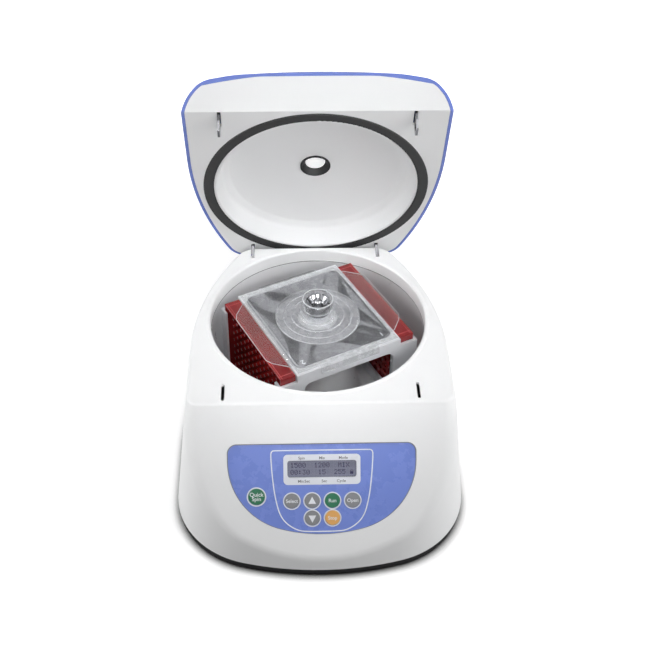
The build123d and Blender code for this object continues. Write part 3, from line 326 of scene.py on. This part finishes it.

# Whitish beads in edge_glint and ring_glint are painted highlights: light caught on the clear
# plastic's edges and rings
edge_glint = moulded("edge_glint", (0.80, 0.82, 0.85), 0.16, 0.04, 900, 0.05)
set_input(edge_glint, "Alpha", 0.55)
ring_glint = edge_glint.copy()
ring_glint.name = "ring_glint"
set_input(ring_glint, "Alpha", 0.34)
# Lighter red for the plate ledges: a painted highlight along them
red_ledge_highlight = moulded("red_ledge_highlight", (0.50, 0.060, 0.062), 0.18, 0.05, 900, 0.05)
# Dark grey for the chamber seam, a real joint, and for the painted shadow round the control panel
seam_and_shadow_grey = moulded("seam_and_shadow_grey", (0.20, 0.20, 0.205), 0.5, 0.05)
ink_white = moulded("ink_white", (0.82, 0.84, 0.88), 0.35, 0.03, 1500, 0.05)
ink_grey = moulded("ink_grey", (0.10, 0.10, 0.12), 0.4, 0.05, 1500, 0.05)
display_ink = moulded("display_ink", (0.001, 0.001, 0.05), 0.5, 0.1, 1500, 0.02)


# Placing pieces on flat faces

SHARP_ANGLE = 35
COVER_SHARP_ANGLE = 14
BEAD_SHARP_ANGLE = 50


def smooth_by_angle(obj, degrees=SHARP_ANGLE):
    for face in obj.data.polygons:
        face.use_smooth = True
    obj.data.set_sharp_from_angle(angle=math.radians(degrees))


def add_piece(name, mesh, material, body, place):
    obj = bpy.data.objects.new(name, mesh)
    bpy.context.scene.collection.objects.link(obj)
    mesh.materials.clear()
    mesh.materials.append(looks[material] if isinstance(material, str) else material)
    obj.matrix_world = place
    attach(obj, body)
    return obj


def raised(place, height):
    return place @ Matrix.Translation((0, 0, height))


def flat_plane(normal, point):
    """Frame on a flat face: x to the user's right, y up the face, z out of it."""
    x_axis = Vector((1, 0, 0))
    y_axis = normal.cross(x_axis).normalized()
    turn = Matrix((x_axis, y_axis, normal)).transposed().to_4x4()
    return Matrix.Translation(point) @ turn


slope_out = -Vector(joints["key_run_press"]["axis"]).normalized()


def face_level(node, direction):
    """How far a node reaches along a direction from the origin."""
    return max(vertex.co.dot(direction) for vertex in nodes[node].data.vertices)


def on_face(node, level_node=None):
    """Frame over a node's middle, on the slope face of that node or of another."""
    centre = middle(node)
    level = face_level(level_node or node, slope_out)
    return flat_plane(slope_out, centre + slope_out * (level - centre.dot(slope_out)))


# Flat plates, beads and letters

def finished(work, name):
    mesh = bpy.data.meshes.new(name)
    work.to_mesh(mesh)
    work.free()
    return mesh


def circle(radius, height, steps=96):
    turns = [2 * math.pi * i / steps for i in range(steps)]
    return [(radius * math.cos(turn), radius * math.sin(turn), height) for turn in turns]


def annulus(outer, inner, thickness, steps=72):
    """Flat ring that stands on its own plane."""
    work = bmesh.new()
    loops = [[work.verts.new(point) for point in circle(radius, height, steps)]
             for radius, height in ((inner, 0), (outer, 0), (outer, thickness), (inner, thickness))]
    for a, b in zip(loops, loops[1:] + loops[:1]):
        for i in range(steps):
            j = (i + 1) % steps
            work.faces.new((a[i], a[j], b[j], b[i]))
    bmesh.ops.recalc_face_normals(work, faces=work.faces)
    return finished(work, "ring")


def add_plate(work, points, thickness):
    """Add a flat plate of any outline, standing on its own plane."""
    low = [work.verts.new((x, y, 0)) for x, y in points]
    high = [work.verts.new((x, y, thickness)) for x, y in points]
    work.faces.new(low[::-1])
    work.faces.new(high)
    for i in range(len(points)):
        j = (i + 1) % len(points)
        work.faces.new((low[i], low[j], high[j], high[i]))


def prism(points, thickness):
    work = bmesh.new()
    add_plate(work, points, thickness)
    return finished(work, "prism")


def curve_mesh(curve):
    """Mesh of a curve or of lettering."""
    holder = bpy.data.objects.new(curve.name + "_curve", curve)
    bpy.context.scene.collection.objects.link(holder)
    bpy.context.view_layer.update()
    mesh = bpy.data.meshes.new_from_object(holder)
    bpy.data.objects.remove(holder)
    return mesh


def round_curve(name, radius):
    curve = bpy.data.curves.new(name, "CURVE")
    curve.dimensions = "3D"
    curve.bevel_depth = radius
    curve.bevel_resolution = 2
    return curve


def bead_line(name, points, radius, material, body, place, closed=True, swell=None):
    """Round bead along a run of points, thinned where swell gives less than one."""
    curve = round_curve(name, radius)
    curve.use_fill_caps = True
    spline = curve.splines.new("POLY")
    spline.points.add(len(points) - 1)
    for point, at in zip(spline.points, points):
        point.co = (*at, 1)
        point.radius = swell(at) if swell else 1.0
    spline.use_cyclic_u = closed
    smooth_by_angle(add_piece(name, curve_mesh(curve), material, body, place), BEAD_SHARP_ANGLE)


LETTER_THICKNESS = 0.06 * MM
LETTER_WEIGHT = 0.012
LINE_SPACING = 0.8


def lettering(name, words, size, material, body, place):
    """Printed words as a thin solid, centred on a place."""
    curve = bpy.data.curves.new(name, "FONT")
    curve.body = words
    curve.size = size
    curve.align_x = "CENTER"
    curve.align_y = "CENTER"
    curve.space_line = LINE_SPACING
    curve.extrude = LETTER_THICKNESS / 2
    curve.offset = size * LETTER_WEIGHT
    add_piece(name, curve_mesh(curve), material, body, place)


def hull(points):
    """Outline round a flat set of points, counter-clockwise."""
    points = sorted(set(points))
    halves = []
    for run in (points, points[::-1]):
        side = []
        for p in run:
            while len(side) > 1 and ((side[-1][0] - side[-2][0]) * (p[1] - side[-2][1])
                                     <= (side[-1][1] - side[-2][1]) * (p[0] - side[-2][0])):
                side.pop()
            side.append(p)
        halves.append(side[:-1])
    return halves[0] + halves[1]


def flat_hull(points):
    """Outline of points in space, seen along z, to a hundredth of a millimetre."""
    return hull([(round(point.x, 5), round(point.y, 5)) for point in points])


# Keys: a white ring printed on the panel round each, and a word or an arrow on its cap

KEYS = ["key_quick_spin", "key_select", "key_up", "key_run", "key_open", "key_down", "key_stop"]
KEY_WORDS = {
    "key_quick_spin": "Quick\nSpin",
    "key_select": "Select",
    "key_run": "Run",
    "key_open": "Open",
    "key_stop": "Stop",
}
KEY_FLANGE = 1.0 * MM
RING_GAP = 0.32 * MM
RING_WIDTH, BIG_RING_WIDTH = 1.13 * MM, 1.28 * MM
RING_THICKNESS = 0.12 * MM
WORD_SIZE, BIG_WORD_SIZE = 4.7 * MM, 5.2 * MM
PRINT_LIFT = 0.03 * MM
ARROW_HALF_WIDTH, ARROW_BACK, ARROW_TIP = 3.6 * MM, 2.7 * MM, 4.1 * MM
ARROW_THICKNESS = 0.08 * MM


def key_arrow(way):
    outline = [(-ARROW_HALF_WIDTH, -ARROW_BACK * way), (ARROW_HALF_WIDTH, -ARROW_BACK * way),
               (0, ARROW_TIP * way)]
    return prism(outline if way > 0 else outline[::-1], ARROW_THICKNESS)


def print_key(key):
    big = key == "key_quick_spin"
    low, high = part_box(key)
    inner = (high.x - low.x) / 2 - KEY_FLANGE + RING_GAP
    outer = inner + (BIG_RING_WIDTH if big else RING_WIDTH)
    add_piece(key + "_ring", annulus(outer, inner, RING_THICKNESS), "bezel_white", "housing",
              on_face(key, "control_panel"))
    top = raised(on_face(key), PRINT_LIFT)
    if key in KEY_WORDS:
        lettering(key + "_word", KEY_WORDS[key], BIG_WORD_SIZE if big else WORD_SIZE, ink_white,
                  key, top)
    else:
        add_piece(key + "_arrow", key_arrow(1 if key == "key_up" else -1), ink_white, key, top)


for key_name in KEYS:
    print_key(key_name)


# White printed line round the display and keys

display_place = on_face("display_window", "control_panel")
LINE_RADIUS = 0.55 * MM
LINE_FLATNESS = 0.15
LINE_HALF = [(0, 18.0), (-26, 18.0), (-42, 18.0), (-47.6, 17.8), (-47.6, 10.0), (-46.6, -6.0),
             (-44.0, -28.0), (-38.5, -47.5), (-24.0, -58.4), (-10.0, -59.2)]


def panel_line():
    """Smooth closed curve, the same on both sides, pressed nearly flat."""
    points = LINE_HALF + [(-x, y) for x, y in LINE_HALF[:0:-1]]
    curve = round_curve("panel_line", LINE_RADIUS)
    curve.resolution_u = 10
    spline = curve.splines.new("NURBS")
    spline.points.add(len(points) - 1)
    for point, (x, y) in zip(spline.points, points):
        point.co = (x * MM, y * MM, 0, 1)
    spline.order_u = 3
    spline.use_cyclic_u = True
    mesh = curve_mesh(curve)
    for vertex in mesh.vertices:
        vertex.co.z *= LINE_FLATNESS
    add_piece("panel_line", mesh, ink_white, "housing", display_place)


panel_line()


# Character display: each glyph is five dots wide and seven high

GLYPHS = {
    "0": "01110 10001 10011 10101 11001 10001 01110",
    "1": "00100 01100 00100 00100 00100 00100 01110",
    "2": "01110 10001 00001 00010 00100 01000 11111",
    "3": "11111 00010 00100 00010 00001 10001 01110",
    "5": "11111 10000 11110 00001 00001 10001 01110",
    ":": "00000 01100 01100 00000 01100 01100 00000",
    "M": "10001 11011 10101 10101 10001 10001 10001",
    "I": "01110 00100 00100 00100 00100 00100 01110",
    "X": "10001 10001 01010 00100 01010 10001 10001",
    "#": "00000 01110 10001 11111 11111 11111 11111",
}
GLYPH_WIDE, GLYPH_HIGH = 5, 7
DISPLAY_ROWS = ["1500  1200  MIX ", "00:30  15  255 #"]
DOT = 0.65 * MM
DOT_THICKNESS = 0.04 * MM
CELL_WIDTH = 3.72 * MM
CELL_HEIGHT = 6.6 * MM


def display_dots():
    """All lit dots of the two lines as one thin mesh."""
    work = bmesh.new()
    for row, words in enumerate(DISPLAY_ROWS):
        top = (1 - row) * CELL_HEIGHT - (CELL_HEIGHT - GLYPH_HIGH * DOT) / 2
        for column, letter in enumerate(words):
            if letter == " ":
                continue
            left = (column - len(words) / 2) * CELL_WIDTH + (CELL_WIDTH - GLYPH_WIDE * DOT) / 2
            for line, dots in enumerate(GLYPHS[letter].split()):
                for step, lit in enumerate(dots):
                    if lit == "1":
                        x, y = left + step * DOT, top - line * DOT
                        corners = [(x, y - DOT), (x + DOT, y - DOT), (x + DOT, y), (x, y)]
                        add_plate(work, corners, DOT_THICKNESS)
    return finished(work, "display_dots")


GROUND_INSET = 0.4 * MM
GROUND_HALF_Y = 9.0 * MM
GROUND_THICKNESS = 0.1 * MM
INK_LIFT = 0.11 * MM
glass_place = on_face("display_window", "display_module")
window_low, window_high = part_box("display_window")
ground_half_x = (window_high.x - window_low.x) / 2 - GROUND_INSET
ground = [(-ground_half_x, -GROUND_HALF_Y), (ground_half_x, -GROUND_HALF_Y),
          (ground_half_x, GROUND_HALF_Y), (-ground_half_x, GROUND_HALF_Y)]
add_piece("display_ground", prism(ground, GROUND_THICKNESS), display_glow(), "housing",
          glass_place)
add_piece("display_dots", display_dots(), display_ink, "housing", raised(glass_place, INK_LIFT))

CAPTION_SIZE = 3.7 * MM
CAPTION_LIFT = 0.02 * MM
CAPTION_HIGH_Y, CAPTION_LOW_Y = 10.6, -11.3
captions = {
    "caption_spin": ("Spin", -19.0, CAPTION_HIGH_Y),
    "caption_mix": ("Mix", 0.0, CAPTION_HIGH_Y),
    "caption_mode": ("Mode", 20.0, CAPTION_HIGH_Y),
    "caption_time": ("Min:Sec", -17.0, CAPTION_LOW_Y),
    "caption_seconds": ("Sec", 2.0, CAPTION_LOW_Y),
    "caption_cycle": ("Cycle", 18.0, CAPTION_LOW_Y),
}
bezel_place = on_face("display_window", "display_bezel")
for caption_name, (words, x, y) in captions.items():
    lettering(caption_name, words, CAPTION_SIZE, ink_grey, "housing",
              bezel_place @ Matrix.Translation((x * MM, y * MM, CAPTION_LIFT)))


# Rotor: bright edges of its clear cover and flaps, drawn as whitish beads that are painted
# highlights

rotor_turn = Vector(joints["flap_left_fold"]["axis"])
rotor_angle = math.atan2(-rotor_turn.x, rotor_turn.y)
rotor_place = (Matrix.Translation((spin_axis.x, spin_axis.y, 0))
               @ Matrix.Rotation(rotor_angle, 4, "Z"))
GLINT = 0.32 * MM
RING_GLINT = 0.34 * MM


def own_points(node):
    """Corners of a rotor piece in the rotor's own axes."""
    inverse = rotor_place.inverted()
    return [inverse @ (nodes[node].matrix_world @ vertex.co)
            for vertex in nodes[node].data.vertices]


def rotor_bead(name, points, radius=GLINT, material=edge_glint, body="rotor", closed=True):
    bead_line(name, points, radius, material, body, rotor_place, closed)


def rounded_outline(half_x, half_y, corner, height, steps=8):
    points = []
    for turn, (sx, sy) in enumerate(((1, 1), (-1, 1), (-1, -1), (1, -1))):
        for i in range(steps + 1):
            angle = math.pi / 2 * (turn + i / steps)
            points.append((sx * (half_x - corner) + corner * math.cos(angle),
                           sy * (half_y - corner) + corner * math.sin(angle), height))
    return points


for flap in ("cover_flap_left", "cover_flap_right"):
    corners = own_points(flap)
    level = sum(corner.z for corner in corners) / len(corners)
    rotor_bead(flap + "_edge", [(x, y, level) for x, y in flat_hull(corners)], body=flap)

SHEET = 1.0 * MM
COVER_RIM_Y = 64.0 * MM
COVER_EDGE_INSET = 3.0 * MM
COVER_EDGE_CORNER = 8.0 * MM
COVER_EDGE_LIFT = 0.9 * MM
COVER_BORDER_INSET = 0.3 * MM
COVER_BORDER_CORNER = 1.0 * MM
RING_RADII = [43.0 * MM, 35.0 * MM, 27.0 * MM, 19.0 * MM]
RING_INSET = 0.6 * MM
RING_SEARCH = 1.3 * MM
NECK_RADIUS = 15.0 * MM
NECK_RIM_DROP, NECK_RIM_BEAD = 0.3 * MM, 0.55 * MM
NECK_FOOT_RADIUS = 17.0 * MM
NECK_FOOT_OUT, NECK_FOOT_LIFT, NECK_FOOT_BEAD = 0.4 * MM, 0.6 * MM, 0.5 * MM
NECK_STEP_OUT, NECK_STEP_DROP, NECK_STEP_BEAD = 0.3 * MM, 10.0 * MM, 0.4 * MM
TAB_CORNER = 3.0 * MM
TAB_INSET = 0.2 * MM
TAB_LIFT = 0.3 * MM
TAB_FACE_DEPTH = 0.1 * MM

cover_points = own_points("rotor_cover")
cover_top = max(point.z for point in cover_points)
sheet_level = min(point.z for point in own_points("cover_flap_left")) + SHEET
cover_half_x = max(abs(point.x) for point in cover_points)
tab_half_y = max(abs(point.y) for point in cover_points)
tab_points = [point for point in cover_points if abs(point.y) > tab_half_y - TAB_FACE_DEPTH]
tab_half_x = max(abs(point.x) for point in tab_points)
tab_low = min(point.z for point in tab_points)


def cover_level(radius):
    """Height of the cover's top face at a distance from its axis."""
    return max(point.z for point in cover_points
               if abs(math.hypot(point.x, point.y) - radius) < RING_SEARCH
               and point.z < cover_top - MM)


def tab_edge(side):
    """Edge of a tab that hangs from the cover's front or rear, from one top corner round."""
    rim_y, face_y = side * COVER_RIM_Y, side * (tab_half_y - TAB_INSET)
    foot, bend = tab_low + TAB_LIFT, tab_low + TAB_CORNER
    half = [(-tab_half_x, rim_y, sheet_level), (-tab_half_x, face_y, sheet_level),
            (-tab_half_x, face_y, bend), (TAB_CORNER - tab_half_x, face_y, foot)]
    return half + [(-x, y, z) for x, y, z in half[::-1]]


for count, radius in enumerate(RING_RADII):
    rotor_bead("cover_ring_%d" % count, circle(radius - RING_INSET, cover_level(radius)),
               RING_GLINT, ring_glint)
rotor_bead("neck_rim", circle(NECK_RADIUS, cover_top - NECK_RIM_DROP), NECK_RIM_BEAD)
rotor_bead("neck_foot", circle(NECK_RADIUS + NECK_FOOT_OUT,
                               cover_level(NECK_FOOT_RADIUS) + NECK_FOOT_LIFT), NECK_FOOT_BEAD)
rotor_bead("cover_edge", rounded_outline(cover_half_x - COVER_EDGE_INSET,
                                         COVER_RIM_Y - COVER_EDGE_INSET, COVER_EDGE_CORNER,
                                         sheet_level + COVER_EDGE_LIFT))
rotor_bead("cover_border", rounded_outline(cover_half_x - COVER_BORDER_INSET, COVER_RIM_Y,
                                           COVER_BORDER_CORNER, sheet_level))
for side, end_name in ((-1, "front"), (1, "rear")):
    rotor_bead("tab_edge_" + end_name, tab_edge(side), closed=False)
rotor_bead("neck_step", circle(NECK_RADIUS + NECK_STEP_OUT, cover_top - NECK_STEP_DROP),
           NECK_STEP_BEAD, ring_glint)


# Well plates: ledges along their tops and across their ends, drawn in a lighter red that is a
# painted highlight

LEDGE_RADIUS = 0.28 * MM
LEDGE_INSET = 0.5 * MM
LEDGE_STEP = 2.6 * MM
LEDGE_END = 1.0 * MM
END_STEP = 5.0 * MM


def plate_ledges(plate):
    corners = own_points(plate)
    top = max(corner.z for corner in corners)
    near = min((corner.x for corner in corners), key=abs)
    outer = max((corner.x for corner in corners), key=abs)
    end = max(corner.y for corner in corners)
    side = 1 if outer > 0 else -1
    lines = (outer - side * LEDGE_INSET, outer - side * LEDGE_STEP, near + side * LEDGE_INSET)
    for count, x in enumerate(lines):
        run = [(x, LEDGE_END - end, top), (x, end - LEDGE_END, top)]
        rotor_bead("%s_ledge_%d" % (plate, count), run, LEDGE_RADIUS, red_ledge_highlight, closed=False)
    for count, y in enumerate((-end + END_STEP, end - END_STEP)):
        run = [(near + side * LEDGE_END, y, top), (outer - side * LEDGE_END, y, top)]
        rotor_bead("%s_end_%d" % (plate, count), run, LEDGE_RADIUS, red_ledge_highlight, closed=False)


for plate_name in ("well_plate_left", "well_plate_right"):
    plate_ledges(plate_name)


# Slot numbers on the rotor's label

NUMBER_X, NUMBER_Y, NUMBER_SIZE = 44.0 * MM, -52.0 * MM, 8.5 * MM
NUMBER_LIFT = 0.02 * MM
label_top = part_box("rotor_label_plate")[1].z
for number, x in (("1", NUMBER_X), ("2", -NUMBER_X)):
    number_place = (rotor_place @ Matrix.Translation((x, NUMBER_Y, label_top + NUMBER_LIFT))
                    @ Matrix.Rotation(math.pi, 4, "Z"))
    lettering("slot_number_" + number, number, NUMBER_SIZE, ink_white, "rotor", number_place)


# Dark gap round the control panel, with painted shadow making it deepest along its top edge

GAP_SHADOW_RADIUS = 0.75 * MM
GAP_SHADOW_LIFT = 0.1 * MM
GAP_SHADOW_THIN = 0.35
FACE_DEPTH = 0.05 * MM
panel_inverse = display_place.inverted()
panel_points = [panel_inverse @ (nodes["control_panel"].matrix_world @ vertex.co)
                for vertex in nodes["control_panel"].data.vertices]
panel_edge = flat_hull([point for point in panel_points if abs(point.z) < FACE_DEPTH])
panel_high = max(y for x, y in panel_edge)
panel_low = min(y for x, y in panel_edge)


# Painted shadow: the dark bead is widest along the panel's top edge, where shade falls, and thins
# towards the bottom
def gap_shadow_swell(point):
    height = (point[1] - panel_low) / (panel_high - panel_low)
    return GAP_SHADOW_THIN + (1 - GAP_SHADOW_THIN) * height ** 2


bead_line("panel_gap_shadow", [(x, y, GAP_SHADOW_LIFT) for x, y in panel_edge], GAP_SHADOW_RADIUS, seam_and_shadow_grey,
          "housing", display_place, swell=gap_shadow_swell)


# Seam under the lip of the chamber mouth

BOWL_WALL = 2.6 * MM
SEAM_INSET = 0.25 * MM
SEAM_RADIUS = 0.45 * MM
bowl_low, bowl_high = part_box("chamber_bowl")
bowl_radius = (bowl_high.x - bowl_low.x) / 2 - BOWL_WALL
bead_line("bowl_seam", circle(bowl_radius - SEAM_INSET, bowl_high.z), SEAM_RADIUS, seam_and_shadow_grey,
          "housing", Matrix.Translation((spin_axis.x, spin_axis.y, 0)))


# Floor, light and world

FLOOR_SIZE = 8.0
FLOOR_WHITE = (0.88, 0.88, 0.88, 1)
BOUNCE_LOW, BOUNCE_HIGH = (0.11, 0.11, 0.11), (0.13, 0.13, 0.13)
BLACK, CLEAR = (0.0, 0.0, 0.0), (1.0, 1.0, 1.0)
CONTACT_SHADE_REACH = 10 * MM
CONTACT_SHADE_DARK, CONTACT_SHADE_CLEAR = 0.50, 0.97
GLOW_NEAR, GLOW_FAR = 0.36, 1.0
GLOW_START, GLOW_END = 0.40, 1.1
ROOM_LOW, ROOM_HIGH = 0.35, 0.02


def seen_ray(tree):
    """One for the rays of the camera, mirrors and glass, and nought for bounced light."""
    path = tree.nodes.new("ShaderNodeLightPath")
    seen = path.outputs["Is Camera Ray"]
    for other in ("Is Glossy Ray", "Is Transmission Ray"):
        either = tree.nodes.new("ShaderNodeMath")
        either.operation = "MAXIMUM"
        tree.links.new(seen, either.inputs[0])
        tree.links.new(path.outputs[other], either.inputs[1])
        seen = either.outputs[0]
    return seen


def floor_material():
    """White for the camera, mirrors and glass, grey for bounced light, dark where the object stands
    close, as painted contact shadow.
    """
    make = Nodes("floor_white")
    seen = seen_ray(make.tree)
    # Painted contact shadow: ambient occlusion darkens the floor's colour and glow near the object
    contact = make.add("ShaderNodeAmbientOcclusion", samples=12)
    contact.inputs["Distance"].default_value = CONTACT_SHADE_REACH
    contact_shade = make.ramp(contact.outputs["AO"], [(CONTACT_SHADE_DARK, BLACK), (CONTACT_SHADE_CLEAR, CLEAR)])
    bounced = make.ramp(make.noise(3), [(0.3, BOUNCE_LOW), (0.7, BOUNCE_HIGH)])
    white = make.add("ShaderNodeMix", data_type="RGBA", blend_type="MULTIPLY")
    white.inputs["Factor"].default_value = 1.0
    white.inputs[6].default_value = FLOOR_WHITE
    make.link(contact_shade, white.inputs[7])
    color = make.add("ShaderNodeMix", data_type="RGBA")
    make.link(seen, color.inputs["Factor"])
    make.link(bounced, color.inputs[6])
    make.link(white.outputs[2], color.inputs[7])
    make.link(color.outputs[2], make.shader.inputs["Base Color"])
    make.set(Roughness=0.85)

    away = make.add("ShaderNodeVectorMath", operation="LENGTH")
    make.link(make.place, away.inputs[0])
    glow = make.spread(away.outputs["Value"], GLOW_NEAR, GLOW_FAR, GLOW_START, GLOW_END)
    level = make.add("ShaderNodeMath", operation="MULTIPLY")
    make.link(seen, level.inputs[0])
    make.link(glow, level.inputs[1])
    make.link(contact_shade, make.shader.inputs["Emission Color"])
    make.link(level.outputs[0], make.shader.inputs["Emission Strength"])
    return make.material


def make_floor():
    size = FLOOR_SIZE
    mesh = bpy.data.meshes.new("floor")
    mesh.from_pydata([(-size, -size, 0), (size, -size, 0), (size, size, 0), (-size, size, 0)],
                     [], [(0, 1, 2, 3)])
    floor = bpy.data.objects.new("floor", mesh)
    bpy.context.scene.collection.objects.link(floor)
    mesh.materials.append(floor_material())


def make_world():
    """Soft white room, brightest round the sides, seen as plain white by the camera."""
    world = bpy.data.worlds.new("studio")
    bpy.context.scene.world = world
    world.use_nodes = True
    tree = world.node_tree
    background = tree.nodes["Background"]
    background.inputs["Color"].default_value = (1, 1, 1, 1)
    direction = tree.nodes.new("ShaderNodeTexCoord")
    split = tree.nodes.new("ShaderNodeSeparateXYZ")
    tree.links.new(direction.outputs["Generated"], split.inputs["Vector"])
    sky = tree.nodes.new("ShaderNodeMapRange")
    sky.inputs["To Min"].default_value = ROOM_LOW
    sky.inputs["To Max"].default_value = ROOM_HIGH
    tree.links.new(split.outputs["Z"], sky.inputs["Value"])
    mix = tree.nodes.new("ShaderNodeMix")
    tree.links.new(seen_ray(tree), mix.inputs["Factor"])
    tree.links.new(sky.outputs["Result"], mix.inputs["A"])
    mix.inputs["B"].default_value = 1.0
    tree.links.new(mix.outputs["Result"], background.inputs["Strength"])


# Name, place, width, power, spread in degrees, and how far over the object's middle it points
LAMPS = [
    ("top_light", (0.0, -0.35, 1.35), 0.6, 2.8, 180, 0.0),
    ("left_light", (-1.2, 0.0, 0.75), 0.8, 11.6, 180, 0.0),
    ("right_light", (1.2, 0.1, 0.8), 0.8, 7.9, 180, 0.0),
    ("front_light", (0.95, -0.8, 0.9), 0.7, 6.6, 180, 0.0),
    ("slope_light", (0.0, -0.6, 0.8), 0.15, 0.045, 26, -0.04),
    ("lid_light", (0.0, -1.3, 0.95), 0.25, 0.2, 24, 0.19),
]


def make_lamps():
    for name, place, width, power, spread, lift in LAMPS:
        aim = (cad_low + cad_high) / 2 + Vector((0, 0, lift))
        data = bpy.data.lights.new(name, "AREA")
        data.shape = "SQUARE"
        data.size = width
        data.energy = power
        data.spread = math.radians(spread)
        lamp = bpy.data.objects.new(name, data)
        bpy.context.scene.collection.objects.link(lamp)
        lamp.location = place
        lamp.rotation_mode = "QUATERNION"
        lamp.rotation_quaternion = (aim - Vector(place)).to_track_quat("-Z", "Y")


make_floor()
make_world()
make_lamps()
bpy.context.scene.view_settings.view_transform = "Standard"

for node_name, node_object in nodes.items():
    smooth_by_angle(node_object, COVER_SHARP_ANGLE if node_name == "rotor_cover" else SHARP_ANGLE)
